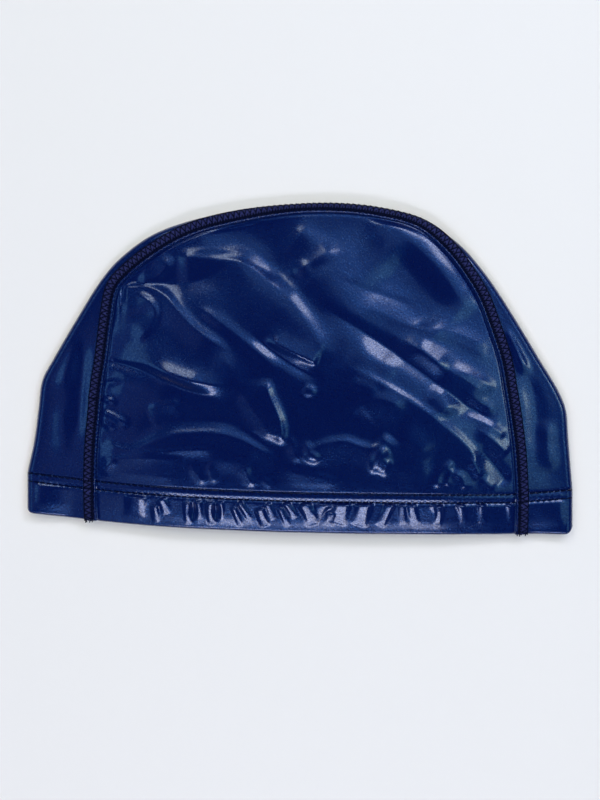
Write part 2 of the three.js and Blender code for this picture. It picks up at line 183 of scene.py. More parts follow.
# Folds of the upper panel: name, rise in mm, width in mm left and right of its course, sharpness from 0
# for a round fold to 1 for a crease, shares of its length that taper out, and its course of [across, up]
panelFolds = [
    ("archRidge", 1, 3, 13, 0.3, (0.12, 0.2), [(-0.46, 0.7975), (-0.395, 0.8025), (-0.305, 0.795),
     (-0.215, 0.7875), (-0.1575, 0.755), (-0.105, 0.715), (-0.055, 0.6725)]),
    ("archRidgeLow", 1.1, 5, 12, 0.2, (0.35, 0.25), [(-0.1375, 0.74), (-0.06, 0.68), (-0.0025, 0.615),
     (0.04, 0.555), (0.08, 0.4875), (0.0975, 0.435)]),
    ("archBrow", 0.4, 5, 2, 0.2, (0.25, 0.35), [(-0.4475, 0.8225), (-0.36, 0.83), (-0.27, 0.83),
     (-0.195, 0.8175), (-0.1325, 0.7875), (-0.0725, 0.7425)]),
    ("plateauEdge", 1.5, 20, 10, 0.2, (0.3, 0.35), [(-0.015, 0.8375), (0.03, 0.765), (0.0725, 0.7025),
     (0.125, 0.64), (0.21, 0.5775), (0.3025, 0.515)]),
    ("shoulderCrease", -1.1, 6, 7, 0.4, (0.0, 0.35), [(-0.655, 0.71), (-0.54, 0.7125), (-0.4325, 0.7125),
     (-0.3425, 0.73), (-0.2675, 0.765), (-0.195, 0.7825)]),
    ("shoulderHook", 0.7, 4, 2.2, 0.3, (0.2, 0.25), [(-0.5975, 0.73), (-0.54, 0.7275), (-0.505, 0.745),
     (-0.4825, 0.78), (-0.46, 0.8075)]),
    ("shoulderRidge", 1.1, 2.6, 8, 0.4, (0.05, 0.25), [(-0.6525, 0.6925), (-0.5475, 0.695), (-0.4925, 0.67),
     (-0.45, 0.6225), (-0.395, 0.5675), (-0.325, 0.5175), (-0.2375, 0.47)]),
    ("bumpRim", 0.8, 1.8, 5, 0.2, (0.3, 0.2), [(-0.62, 0.6725), (-0.57, 0.66), (-0.54, 0.6375),
     (-0.525, 0.6075), (-0.5375, 0.565), (-0.565, 0.5325), (-0.6025, 0.5025)]),
    ("twinRidge", 0.6, 2.6, 3.4, 0.3, (0.2, 0.25), [(-0.385, 0.64), (-0.325, 0.6), (-0.26, 0.5575),
     (-0.1975, 0.51), (-0.155, 0.48), (-0.1075, 0.44), (-0.0725, 0.3975)]),
    ("twinValley", -0.9, 2.2, 2.6, 0.4, (0.3, 0.3), [(-0.195, 0.5525), (-0.1225, 0.4975), (-0.035, 0.44),
     (0.0425, 0.4), (0.0925, 0.38)]),
    ("flatCrest", 1.2, 5, 1.4, 0.6, (0.25, 0.12), [(-0.13, 0.5225), (-0.035, 0.48), (0.0675, 0.4375)]),
    ("crownBand", 0.95, 5, 10, 0.1, (0.25, 0.25), [(-0.03, 0.9125), (0.01, 0.885), (0.05, 0.855),
     (0.0875, 0.8225), (0.1125, 0.7775)]),
    ("seamRoll", 1.3, 5.5, 12, 0.1, (0.2, 0.2), [(0.215, 0.9225), (0.28, 0.9125), (0.35, 0.8975),
     (0.4025, 0.86), (0.45, 0.82), (0.4975, 0.775), (0.5325, 0.7325), (0.565, 0.685), (0.6025, 0.6375),
     (0.63, 0.6)]),
    ("napeCreaseA", -0.2, 1.6, 3, 0.5, (0.25, 0.3), [(0.115, 0.7375), (0.23, 0.7), (0.3325, 0.6675),
     (0.455, 0.625)]),
    ("napeStepB", 0.22, 3, 2.4, 0.4, (0.25, 0.1), [(0.1875, 0.6525), (0.2875, 0.6175), (0.375, 0.5825),
     (0.505, 0.54), (0.6125, 0.5025), (0.705, 0.4575)]),
    ("napeStepC", 0.35, 4, 3, 0.3, (0.3, 0.15), [(0.3525, 0.5825), (0.4325, 0.5675), (0.525, 0.5575),
     (0.62, 0.53), (0.6925, 0.49)]),
    ("longValley", -1.1, 3.8, 4.6, 0.5, (0.25, 0.1), [(0.0425, 0.67), (0.1225, 0.6125), (0.21, 0.5625),
     (0.295, 0.51), (0.3675, 0.4625), (0.44, 0.415), (0.525, 0.355), (0.615, 0.295), (0.72, 0.2425)]),
    ("starFacet", 0.6, 6, 7, 0.1, (0.3, 0.35), [(0.1875, 0.495), (0.2675, 0.4525), (0.3675, 0.415)]),
    ("napeLip", 0.8, 5, 4, 0.3, (0.3, 0.15), [(0.3175, 0.5575), (0.4025, 0.5075), (0.49, 0.4525),
     (0.5825, 0.4), (0.6925, 0.3325)]),
    ("napePatch", 0.7, 5, 3, 0.2, (0.35, 0.35), [(0.41, 0.5125), (0.4675, 0.4675), (0.5375, 0.415)]),
    ("napeLineE", 0.35, 2.4, 2.6, 0.3, (0.4, 0.2), [(0.5475, 0.435), (0.6275, 0.4025), (0.72, 0.355)]),
    ("napeFacetLow", 1, 7, 6, 0.1, (0.35, 0.35), [(0.475, 0.375), (0.5175, 0.3275), (0.545, 0.255)]),
    ("sideStreakA", 0.35, 2.6, 3, 0.3, (0.35, 0.25), [(0.5825, 0.35), (0.6475, 0.3175), (0.7125, 0.275)]),
    ("sideStreakB", 0.7, 2.8, 3.2, 0.4, (0.35, 0.15), [(0.635, 0.2275), (0.6975, 0.1875), (0.76, 0.135)]),
    ("sideFoldC", 0.5, 2.4, 2.8, 0.4, (0.4, 0.15), [(0.59, 0.275), (0.67, 0.2425), (0.75, 0.195)]),
    ("sideFoldD", -0.8, 3, 3.6, 0.3, (0.4, 0.15), [(0.64, 0.1675), (0.705, 0.1), (0.76, 0.0325)]),
    ("sideFoldE", 0.4, 2, 2, 0.3, (0.35, 0.3), [(0.655, 0.06), (0.685, 0.0325), (0.71, 0.0125)]),
    ("longRidge", 0.75, 2.2, 9, 0.3, (0.25, 0.15), [(0.145, 0.4375), (0.235, 0.4025), (0.325, 0.3575),
     (0.4, 0.315), (0.4725, 0.2675), (0.545, 0.215), (0.6075, 0.16), (0.6375, 0.115), (0.6625, 0.0475)]),
    ("ridgeUnder", 0.5, 3.4, 2.8, 0.3, (0.35, 0.35), [(0.1575, 0.38), (0.2225, 0.365), (0.2875, 0.3475)]),
    ("arcFacet", 0.8, 3.4, 7, 0.2, (0.3, 0.3), [(0.1875, 0.265), (0.2225, 0.3025), (0.2725, 0.3175),
     (0.3325, 0.3075), (0.39, 0.28)]),
    ("frontShelf", 2.2, 15, 4.5, 0.5, (0.35, 0.25), [(-0.655, 0.4625), (-0.5475, 0.425), (-0.4475, 0.3875),
     (-0.345, 0.365), (-0.2375, 0.3525)]),
    ("frontCrease", -0.9, 1.6, 2.4, 0.5, (0.0, 0.3), [(-0.6975, 0.43), (-0.59, 0.4075), (-0.49, 0.37),
     (-0.39, 0.335), (-0.2675, 0.3175)]),
    ("shelfEnd", 0.5, 5, 6, 0.2, (0.35, 0.3), [(-0.31, 0.4825), (-0.2675, 0.4425), (-0.23, 0.38),
     (-0.205, 0.32)]),
    ("frontSoft", 0.7, 5, 5, 0.2, (0.2, 0.35), [(-0.6925, 0.35), (-0.5975, 0.34), (-0.505, 0.3225),
     (-0.41, 0.315)]),
    ("frontStreak", 0.7, 1.6, 6, 0.3, (0.25, 0.25), [(-0.555, 0.27), (-0.4975, 0.2825), (-0.425, 0.3025)]),
    ("archedRoll", 0.95, 2.2, 11, 0.3, (0.08, 0.2), [(-0.7125, 0.15), (-0.67, 0.125), (-0.62, 0.12),
     (-0.57, 0.1375), (-0.515, 0.165), (-0.4425, 0.185), (-0.36, 0.1925), (-0.285, 0.1925),
     (-0.2125, 0.175), (-0.155, 0.1475), (-0.105, 0.1225), (-0.0575, 0.0875)]),
    ("aboveRoll", -0.7, 11, 2.6, 0.1, (0.3, 0.3), [(-0.605, 0.1825), (-0.54, 0.215), (-0.45, 0.2375),
     (-0.36, 0.2425), (-0.27, 0.24), (-0.195, 0.2175), (-0.13, 0.1725)]),
    ("lowLine", 0.5, 1.3, 2.4, 0.4, (0.25, 0.25), [(-0.655, 0.1), (-0.575, 0.1125), (-0.485, 0.125),
     (-0.36, 0.1375), (-0.28, 0.135)]),
    ("lowRidge", 0.6, 1.3, 8, 0.4, (0.1, 0.3), [(-0.7275, 0.08), (-0.6475, 0.09), (-0.54, 0.0975),
     (-0.4025, 0.0975)]),
    ("lowShelf", 0.5, 4.5, 5, 0.2, (0.25, 0.2), [(-0.345, 0.105), (-0.26, 0.1), (-0.165, 0.0875)]),
    ("hemTickA", 0.5, 2.4, 2, 0.3, (0.3, 0.3), [(-0.4, 0.09), (-0.375, 0.055), (-0.3375, 0.0075)]),
    ("hemTickB", 0.4, 2, 2, 0.3, (0.3, 0.3), [(-0.3375, 0.09), (-0.32, 0.0575), (-0.3025, 0.0175)]),
    ("hemTickC", 0.6, 2.4, 1.8, 0.4, (0.15, 0.3), [(-0.205, 0.0825), (-0.1875, 0.0475), (-0.165, 0.0075)]),
    ("hemTickD", 0.4, 2, 1.8, 0.3, (0.3, 0.3), [(-0.1375, 0.0575), (-0.12, 0.03), (-0.105, 0.005)]),
    ("cornerTick", 0.45, 1.8, 2, 0.4, (0.2, 0.3), [(-0.7275, 0.03), (-0.695, 0.06), (-0.66, 0.0825)]),
    ("upright", 1.3, 2.2, 9, 0.4, (0.2, 0.15), [(-0.1225, 0.3975), (-0.115, 0.3425), (-0.0925, 0.2925),
     (-0.0725, 0.245), (-0.0675, 0.1975), (-0.08, 0.1575)]),
    ("uprightRim", 0.5, 5, 2.4, 0.2, (0.3, 0.3), [(-0.2225, 0.355), (-0.1875, 0.2975), (-0.14, 0.24),
     (-0.1, 0.1725)]),
    ("rollTail", 0.6, 2.2, 5, 0.3, (0.3, 0.3), [(-0.0875, 0.12), (-0.0575, 0.0875), (-0.0025, 0.0675),
     (0.08, 0.055), (0.1725, 0.0375)]),
    ("smallUpright", 0.5, 2, 3, 0.3, (0.25, 0.3), [(-0.035, 0.2025), (-0.025, 0.155), (0, 0.095)]),
    ("wavyRidge", 1.1, 2.4, 8, 0.3, (0.15, 0.1), [(0, 0.19), (0.035, 0.1525), (0.1, 0.17), (0.1625, 0.1775),
     (0.2125, 0.1625), (0.255, 0.155), (0.2925, 0.1725), (0.325, 0.21)]),
    ("loopLeft", 0.7, 2.6, 2, 0.2, (0.25, 0.25), [(0.3175, 0.165), (0.285, 0.135), (0.2675, 0.0975),
     (0.2725, 0.065)]),
    ("loopRight", 0.6, 2, 2, 0.2, (0.3, 0.3), [(0.3175, 0.125), (0.31, 0.0925), (0.2875, 0.0625)]),
    ("arcA", 0.65, 2, 2.6, 0.3, (0.2, 0.25), [(0.4925, 0.015), (0.5, 0.0625), (0.525, 0.0925),
     (0.5625, 0.11)]),
    ("arcInner", 0.5, 2, 2, 0.3, (0.25, 0.25), [(0.53, 0.025), (0.54, 0.06), (0.5575, 0.09)]),
    ("arcB", 0.6, 2.2, 2.4, 0.3, (0.25, 0.2), [(0.5475, 0.0725), (0.5825, 0.06), (0.6025, 0.0125)]),
    ("ridgeEnd", 0.5, 2.2, 2.2, 0.2, (0.25, 0.25), [(0.6125, 0.1275), (0.635, 0.0925), (0.655, 0.0525)]),
    ("napeFall", 0.7, 6, 5, 0.1, (0.35, 0.35), [(0.345, 0.22), (0.41, 0.1725), (0.475, 0.1125)]),
    ("lowRight", 0.5, 5, 5, 0.1, (0.35, 0.35), [(0.3325, 0.065), (0.41, 0.08), (0.49, 0.0725)]),
    ("puckerA", 0.8, 1.6, 2, 0.4, (0.0, 0.5), [(-0.73, 0.2925), (-0.6975, 0.2925), (-0.655, 0.28)]),
    ("puckerB", 0.9, 1.8, 2.6, 0.4, (0.0, 0.4), [(-0.7275, 0.2525), (-0.685, 0.24), (-0.6125, 0.2025)]),
    ("puckerC", 0.8, 1.5, 2, 0.4, (0.0, 0.5), [(-0.73, 0.2175), (-0.6975, 0.205), (-0.6625, 0.1825)]),
    ("puckerD", 0.2, 1.5, 2, 0.4, (0.0, 0.5), [(-0.73, 0.1275), (-0.6975, 0.1175), (-0.655, 0.11)]),
    ("puckerE", 0.6, 1.6, 2, 0.3, (0.0, 0.5), [(-0.7275, 0.3525), (-0.6925, 0.3525), (-0.64, 0.3625)]),
    ("seamHollow", -1.8, 9, 40, 0, (0.3, 0.25), [(0.3175, 0.84), (0.395, 0.7525), (0.4675, 0.6725),
     (0.5475, 0.585)]),
    ("shelfPatch", 1.2, 4.5, 3, 0.2, (0.35, 0.35), [(-0.5475, 0.415), (-0.485, 0.3925), (-0.4175, 0.3725),
     (-0.31, 0.355)]),
    ("archValley", -1.5, 12, 7, 0.1, (0.3, 0.3), [(-0.375, 0.87), (-0.28, 0.87), (-0.195, 0.8475),
     (-0.1225, 0.8), (-0.0475, 0.7375), (0.0175, 0.665), (0.0725, 0.59), (0.1125, 0.5025)]),
]

# Round bumps and hollows, sizes in mm, turned in degrees
bumps = [
    dict(name="roundBump", centre=(-0.6125, 0.59), rise=0.8, across=9, up=9, turn=0),
    dict(name="loopBump", centre=(0.2875, 0.12), rise=0.7, across=4.6, up=5.4, turn=20),
    dict(name="crownSpot", centre=(0.005, 0.765), rise=0.4, across=3.6, up=3.6, turn=0),
    dict(name="greenSpot", centre=(0.0325, 0.3475), rise=0.7, across=3, up=2.6, turn=0),
    dict(name="wavySpot", centre=(0.0425, 0.125), rise=0.8, across=3.6, up=2.6, turn=-20),
    dict(name="hemHollowA", centre=(-0.3875, -0.0775), rise=-0.7, across=1.7, up=4, turn=0),
    dict(name="hemHollowB", centre=(-0.3025, -0.0725), rise=-0.8, across=1.8, up=4, turn=0),
]

# Soft waves of the strip on top, left and right of the panel, in the same order
stripFolds = [
    ("frontWave", 0.7, 4, 5, 0.1, (0.3, 0.3), [(-0.84, 0.5), (-0.86, 0.38), (-0.87, 0.3)]),
    ("frontTrough", -0.7, 3, 4, 0.1, (0.25, 0.3), [(-0.79, 0.52), (-0.8, 0.3), (-0.81, 0.12)]),
    ("frontLowWave", 0.5, 4, 4, 0.1, (0.3, 0.3), [(-0.86, 0.28), (-0.87, 0.16), (-0.86, 0.05)]),
    ("shoulderWave", 0.5, 2.5, 2.5, 0.1, (0.3, 0.3), [(-0.74, 0.66), (-0.69, 0.7), (-0.62, 0.8)]),
    ("napeWave", 1.1, 3, 4, 0.2, (0.25, 0.3), [(0.74, 0.58), (0.79, 0.5), (0.84, 0.4)]),
    ("napeTrough", -0.5, 4, 4, 0.1, (0.3, 0.3), [(0.83, 0.42), (0.86, 0.28), (0.86, 0.12)]),
    ("napeLowWave", 0.6, 4, 4, 0.1, (0.3, 0.3), [(0.9, 0.26), (0.9, 0.16), (0.92, 0.06)]),
]

# Folds of the underside, which lift the cloth off the floor
farFolds = [
    ("frontLift", 1.7, 6, 6, 0, (0.4, 0.4), [(-0.6, 0.3), (-0.41, 0.27), (-0.22, 0.3)]),
    ("crownLift", 1.4, 6, 6, 0, (0.4, 0.4), [(-0.2, 0.56), (0.05, 0.57), (0.3, 0.52)]),
    ("napeLift", 1.7, 6, 6, 0, (0.4, 0.4), [(0.3, 0.32), (0.45, 0.25), (0.6, 0.16)]),
]


def pathOf(course):
    spots = np.array([place(spot) for spot in course])
    return smoothCurve(spots, np.linspace(0, len(spots) - 1, 5 * len(spots) - 4))


foldPaths = {name: pathOf(course) for name, *sizes, course in panelFolds + stripFolds + farFolds}


def foldsAt(folds, x, y):
    # height that the folds add at each place
    total = np.zeros(x.shape)
    for name, rise, left, right, sharp, ends, course in folds:
        path = foldPaths[name]
        reach = 3 * max(left, right)
        low, high = path.min(0) - reach, path.max(0) + reach
        near = (x > low[0]) & (x < high[0]) & (y > low[1]) & (y < high[1])
        if not near.any():
            continue
        side, *foot, along = nearest(path, x[near], y[near])
        share = np.abs(side) / np.where(side > 0, right, left)
        profile = (1 - sharp) * np.exp(-share ** 2) + sharp * np.exp(-1.5 * share)
        taper = ease(0, ends[0] + 1e-3, along) * ease(0, ends[1] + 1e-3, 1 - along)
        total[near] += rise * profile * taper
    return total


# The hem's own relief, in mm
hem = dict(
    rows=(0.2, 3.5),  # the two rows of stitches, below the hem's top
    rowDent=0.18, rowDentWidth=0.6,
    rollBetween=0.1, rollWidth=0.9,  # the cloth bulges between the rows
    puff=0.4,  # and below them
    stitchPitch=2.6, stitchDent=0.07,
    fall=0.95,  # share of a ripple's rise that it loses down to the mouth
)
# Ripples of the hem below its stitches: name, rise and width in mm, and the course down to the mouth
hemRipples = [
    ("hemRippleA", 1.3, 3.9, [(-0.59, -0.0375), (-0.595, -0.0725), (-0.6025, -0.1125)]),
    ("hemRippleB", 1, 1.4, [(-0.5275, -0.065), (-0.525, -0.0925), (-0.5225, -0.1275)]),
    ("hemRippleC", 1.1, 2, [(-0.505, -0.04), (-0.4925, -0.065), (-0.4825, -0.095)]),
    ("hemRippleD", 1.1, 1.6, [(-0.4075, -0.0425), (-0.4075, -0.08), (-0.4025, -0.125)]),
    ("hemRippleE", 1, 1.5, [(-0.37, -0.04), (-0.3675, -0.0725), (-0.3675, -0.105)]),
    ("hemRippleF", 1.3, 1.7, [(-0.325, -0.04), (-0.325, -0.0775), (-0.315, -0.12)]),
    ("hemRippleG", 1, 1.4, [(-0.2925, -0.0375), (-0.2875, -0.0675), (-0.2925, -0.1025)]),
    ("hemRippleH", 1, 1.1, [(-0.2425, -0.055), (-0.23, -0.085), (-0.215, -0.1225)]),
    ("hemRippleI", 1.1, 1.1, [(-0.2225, -0.0375), (-0.2025, -0.065), (-0.18, -0.0975)]),
    ("hemRippleJ", 1.4, 1.9, [(-0.1475, -0.055), (-0.1375, -0.085), (-0.1225, -0.12)]),
    ("hemRippleK", 0.8, 1.4, [(-0.12, -0.0375), (-0.1075, -0.065), (-0.095, -0.095)]),
    ("hemRippleL", 0.8, 1.2, [(-0.075, -0.05), (-0.06, -0.08), (-0.0425, -0.1175)]),
    ("hemRippleM", 1.1, 1.4, [(-0.055, -0.0325), (-0.035, -0.0575), (-0.015, -0.0875)]),
    ("hemRippleN", 1.4, 2.5, [(0.01, -0.0325), (0.0325, -0.0675), (0.05, -0.11)]),
    ("hemRippleO", 1, 2.1, [(0.115, -0.025), (0.08, -0.045), (0.055, -0.0875)]),
    ("hemRippleP", 1.5, 3.6, [(0.155, -0.02), (0.1475, -0.0575), (0.1325, -0.105)]),
    ("hemRippleQ", 0.7, 1.8, [(0.1125, -0.065), (0.1075, -0.085), (0.105, -0.11)]),
    ("hemRippleR", 1.7, 3.3, [(0.2375, -0.0175), (0.2275, -0.0575), (0.21, -0.11)]),
    ("hemRippleS", 1.5, 2, [(0.335, -0.015), (0.3175, -0.0525), (0.2875, -0.11)]),
    ("hemRippleT", 0.7, 1.5, [(0.37, -0.025), (0.37, -0.0625), (0.375, -0.1025)]),
    ("hemRippleU", 1, 1.8, [(0.4025, -0.0175), (0.4075, -0.055), (0.4225, -0.1025)]),
    ("hemRippleV", 0.8, 1.4, [(0.4725, -0.0175), (0.4825, -0.035), (0.4925, -0.0575)]),
    ("hemRippleW", 1.3, 1.6, [(0.5, -0.035), (0.505, -0.065), (0.4975, -0.105)]),
    ("hemRippleX", 1, 1.6, [(0.57, -0.0175), (0.5875, -0.05), (0.595, -0.0975)]),
    ("hemRippleY", 1, 1.6, [(0.655, -0.02), (0.6625, -0.0575), (0.6625, -0.1)]),
    ("hemRippleZ", 0.8, 1.2, [(0.7425, -0.01), (0.76, -0.0375), (0.77, -0.095)]),
]

ripplePaths = [pathOf(course) for name, rise, width, course in hemRipples]


def hemRelief(x, y):
    down = hemTop(x) - y
    low = hem["rows"][1]
    dents = sum(np.exp(-((down - row) / hem["rowDentWidth"]) ** 2) for row in hem["rows"])
    between = np.exp(-((down - sum(hem["rows"]) / 2) / hem["rollWidth"]) ** 2)
    stitchWave = np.cos(2 * math.pi * x / hem["stitchPitch"])
    relief = between * hem["rollBetween"] * (1 + 0.2 * stitchWave)
    relief -= dents * (hem["rowDent"] + hem["stitchDent"] * stitchWave)
    relief += hem["puff"] * ease(low, low + 1.6, down) * ease(0, 6, cap["hemDepth"] - down)
    for (name, rise, width, course), path in zip(hemRipples, ripplePaths):
        reach = np.ptp(path[:, 0]) / 2 + 2 * width
        near = (np.abs(x - path[:, 0].mean()) < reach) & (down > 0)
        if not near.any():
            continue
        side, *foot, along = nearest(path, x[near], y[near])
        profile = np.exp(-(side / width) ** 4)
        taper = ease(-0.02, 0.12, along) * (1 - hem["fall"] * along) * ease(-0.04, 0.06, 1 - along)
        relief[near] += rise * profile * taper * ease(low + 0.2, low + 1.4, down[near])
    return relief * ease(-0.4, 0.2, down)


def bumpsAt(x, y):
    total = np.zeros(x.shape)
    for bump in bumps:
        centreX, centreY = place(bump["centre"])
        turn = math.radians(bump["turn"])
        u = ((x - centreX) * math.cos(turn) + (y - centreY) * math.sin(turn)) / bump["across"]
        v = ((y - centreY) * math.cos(turn) - (x - centreX) * math.sin(turn)) / bump["up"]
        total += bump["rise"] * np.exp(-1.4 * (u ** 2 + v ** 2) ** 1.5)
    return total


unevenness = dict(count=16, lengths=(14, 46), steepness=0.0011, seed=11)
rng = np.random.default_rng(unevenness["seed"])
waveRows = [(rng.uniform(0, math.pi), rng.uniform(*unevenness["lengths"]), rng.uniform(0, 6.3))
            for i in range(unevenness["count"])]


def softWaves(x, y):
    # a faint unevenness all over the cloth
    total = np.zeros(x.shape)
    for turn, length, shift in waveRows:
        way = x * math.cos(turn) + y * math.sin(turn)
        total += np.sin(2 * math.pi * way / length + shift) * length * unevenness["steepness"]
    return total


# Where the cloth dips beside the upper seam, towards the panel, in mm from the seam's middle
groove = dict(at=2.95, width=0.45, depth=0.45)
# Distances in mm from a seam, the hem or the folded edge over which the relief comes in
fades = dict(
    panelSeam=(2.4, 5.4), panelHem=(0, 4.5), stripSeam=(2, 6), stripHem=(0, 6), stripEdge=(3, 9),
    groove=(2, 6), waves=(3, 12), hem=(2.8, 6), farSeam=(2.5, 10), farHem=(0, 8),
)


def nearHeight(x, y):
    rise = ease(0, cap["loftRise"], y - mouthY(x))
    loft = cap["mouthLoft"] + (cap["crownLoft"] - cap["mouthLoft"]) * rise
    even = evenDistance(x, y)
    height = 2 * cap["roundRadius"] + loft * ease(cap["roundRadius"], cap["loftReach"], even)
    drop = cap["mouthDrop"] * (1 - ease(-4, cap["dropReach"], y - mouthY(x)))
    height -= drop * ease(cap["roundRadius"], 20, even)
    fromSeam = nearest(nearPath, x, y)[0]
    fromHem = y - hemTop(x)
    inPanel = ease(*fades["panelSeam"], fromSeam) * ease(*fades["panelHem"], fromHem)
    inStrip = ease(*fades["stripSeam"], -fromSeam) * ease(*fades["stripHem"], fromHem)
    inStrip *= ease(*fades["stripEdge"], even)
    height += foldsAt(panelFolds, x, y) * inPanel + foldsAt(stripFolds, x, y) * inStrip
    height += bumpsAt(x, y) * np.where(fromHem > 0, inPanel, 1)
    dip = np.exp(-((fromSeam - groove["at"]) / groove["width"]) ** 2)
    height -= groove["depth"] * dip * ease(*fades["groove"], even)
    waves = softWaves(x, y) * ease(*fades["waves"], even)
    return height + waves + hemRelief(x, y) * ease(*fades["hem"], even)


def farHeight(x, y):
    fromSeam = nearest(farPath, x, y)[0]
    bed = cap["seamBed"]
    lift = cap["seamLift"] * (1 - ease(bed, bed + cap["seamShoulder"], np.abs(fromSeam)))
    inPanel = ease(*fades["farSeam"], np.abs(fromSeam)) * ease(*fades["farHem"], y - hemTop(x))
    return lift + foldsAt(farFolds, x, y) * inPanel


def edgeAt(x, y):
    # depth of a place inside the folded edge, its foot on the edge and the way inwards
    depth, footX, footY, wayX, wayY, along = nearest(edgePath, x, y)
    close = np.abs(depth) < 1e-4
    gap = np.where(close, 1, depth)
    inX = np.where(close, wayY, (x - footX) / gap)
    inY = np.where(close, -wayX, (y - footY) / gap)
    return depth, footX, footY, inX, inY


def skin(side, x, y, gridNormals=False):
    # points on the outer face of a side, "near" on top or "far" underneath, with their outward normals
    radius = cap["roundRadius"]
    turn = np.broadcast_to(np.where(np.asarray(side) == "near", 1.0, -1.0), x.shape)
    depth, footX, footY, inX, inY = edgeAt(x, y)
    onRound = depth < radius
    out = np.where(onRound, (radius - np.clip(depth, 0, radius)) / radius, 0)
    up = np.sqrt(1 - out ** 2)
    points = np.stack([x, y, radius + turn * up * radius], -1)
    normals = np.stack([-inX * out, -inY * out, turn * up], -1)
    for value, height in ((1.0, nearHeight), (-1.0, farHeight)):
        flat = ~onRound & (turn == value)
        if not flat.any():
            continue
        fx, fy = x[flat], y[flat]
        points[..., 2][flat] = height(fx, fy)
        if gridNormals:
            continue
        step = 0.25
        slopeX = (height(fx + step, fy) - height(fx - step, fy)) / (2 * step)
        slopeY = (height(fx, fy + step) - height(fx, fy - step)) / (2 * step)
        way = np.stack([-slopeX, -slopeY, np.ones_like(slopeX)], -1)
        normals[flat] = value * way / np.linalg.norm(way, axis=-1, keepdims=True)
    if gridNormals:
        normals = normalsOf(points)
    return points, normals


def normalsOf(points):
    # normals of a grid of points from its own rows and columns
    down, along = np.gradient(points, axis=0), np.gradient(points, axis=1)
    normals = np.cross(down, along)
    normals /= np.maximum(np.linalg.norm(normals, axis=-1, keepdims=True), 1e-9)
    return normals


def walk(side, x, y, wayX, wayY, reach):
    # the place that lies `reach` away over the cap's face, across the folded edge where the way leads there
    radius = cap["roundRadius"]
    depth, footX, footY, inX, inY = edgeAt(x, y)
    onRound = np.clip(depth, 0, radius)
    extra = radius * np.arccos(1 - onRound / radius) - onRound
    flatX, flatY = x + inX * extra + wayX * reach, y + inY * extra + wayY * reach
    depth, footX, footY, inX, inY = edgeAt(flatX, flatY)
    length = np.abs(depth)
    quarter = radius * math.pi / 2
    placed = np.where(length < quarter, radius * (1 - np.cos(length / radius)), length - quarter + radius)
    other = "far" if side == "near" else "near"
    sides = np.where(depth < 0, other, side)
    return sides, footX + inX * placed, footY + inY * placed


def toMetres(points):
    return (np.asarray(points, float) + [0, -cap["height"] / 2, 0]) * 0.001


def gridFaces(rows, columns, first=0, loop=False, flip=False):
    r = np.arange(rows if loop else rows - 1)[:, None]
    c = np.arange(columns - 1)[None, :]
    a, b = r * columns + c, ((r + 1) % rows) * columns + c
    faces = np.stack([a, b, b + 1, a + 1], -1).reshape(-1, 4) + first
    return faces[:, ::-1] if flip else faces


def rimFaces(outerRim, innerRim, ratio):
    # joins a fine rim to a rim with one point for each `ratio` of its points
    faces = []
    for i in range(len(innerRim) - 1):
        fine = list(outerRim[i * ratio:(i + 1) * ratio + 1])
        faces.append([innerRim[i], innerRim[i + 1], *reversed(fine)])
    return faces


def inScene(name, data):
    obj = bpy.data.objects.new(name, data)
    bpy.context.scene.collection.objects.link(obj)
    return obj


def meshObject(name, points, faces, materials, faceMaterials=None):
    mesh = bpy.data.meshes.new(name)
    mesh.from_pydata(toMetres(points).tolist(), [], [list(map(int, face)) for face in faces])
    for material in materials:
        mesh.materials.append(material)
    if faceMaterials is not None:
        mesh.polygons.foreach_set("material_index", np.asarray(faceMaterials, np.int32))
    mesh.polygons.foreach_set("use_smooth", np.ones(len(mesh.polygons), bool))
    mesh.update()
    return inScene(name, mesh)


def surfaceArea(points):
    # area in square metres of a grid of points
    a, b = points[1:, 1:] - points[:-1, :-1], points[1:, :-1] - points[:-1, 1:]
    return float(np.linalg.norm(np.cross(a, b), axis=-1).sum() / 2 * 1e-6)


def clothPiece(name, x, y, side, faceUp=True):
    # a closed cloth from a grid of places: a fine outer face and a coarser inner one
    ratio = cap["innerRatio"]
    points, normals = skin(side, x, y, gridNormals=True)
    middle = normals[normals.shape[0] // 2, normals.shape[1] // 2, 2]
    if (middle > 0) != faceUp:
        normals = -normals
    inner = (points - normals * cap["clothWall"])[::ratio, ::ratio]
    rows, columns = points.shape[:2]
    innerRows, innerColumns = inner.shape[:2]
    total = rows * columns
    outerIndex = np.arange(total).reshape(rows, columns)
    innerIndex = total + np.arange(innerRows * innerColumns).reshape(innerRows, innerColumns)
    across = np.cross(points[1, 0] - points[0, 0], points[0, 1] - points[0, 0])
    flipped = bool(np.dot(across, normals[0, 0]) < 0)
    outerFaces = gridFaces(rows, columns, flip=flipped)
    innerFaces = gridFaces(innerRows, innerColumns, total, flip=not flipped)
    edges = [(slice(None), 0), (slice(None, None, -1), -1), (0, slice(None, None, -1)), (-1, slice(None))]
    rims = [rimFaces(outerIndex[edge], innerIndex[edge], ratio) for edge in edges]
    rim = [face[::-1] if flipped else face for part in rims for face in part]
    faces = [*outerFaces.tolist(), *innerFaces.tolist(), *rim]
    kinds = [0] * len(outerFaces) + [1] * len(innerFaces) + [0] * len(rim)
    corners = np.vstack([points.reshape(-1, 3), inner.reshape(-1, 3)])
    obj = meshObject(name, corners, faces, [coated, lining], kinds)
    return obj, surfaceArea(points)


# Materials
cloth = dict(
    colour=(0.0002, 0.002, 0.044), roughness=0.3, sheenTint=(0.08, 0.36, 1.0), sheenLevel=0.65,
    coat=0.78, coatRoughness=0.16,
    grainSize=0.0009, grainTilt=0.15,  # the coating's fine grain, size in metres
    broadSize=0.006, broadTilt=0.03,
    # the cloth under the seam threads is painted lighter than the coated cloth, a painted sheen
    lining=(0.006, 0.012, 0.05), sheenPaintedUnderThreads=(0.018, 0.023, 0.11),
    thread=(0.0012, 0.002, 0.012), threadRoughness=0.5, threadTint=(0.3, 0.42, 1),
)


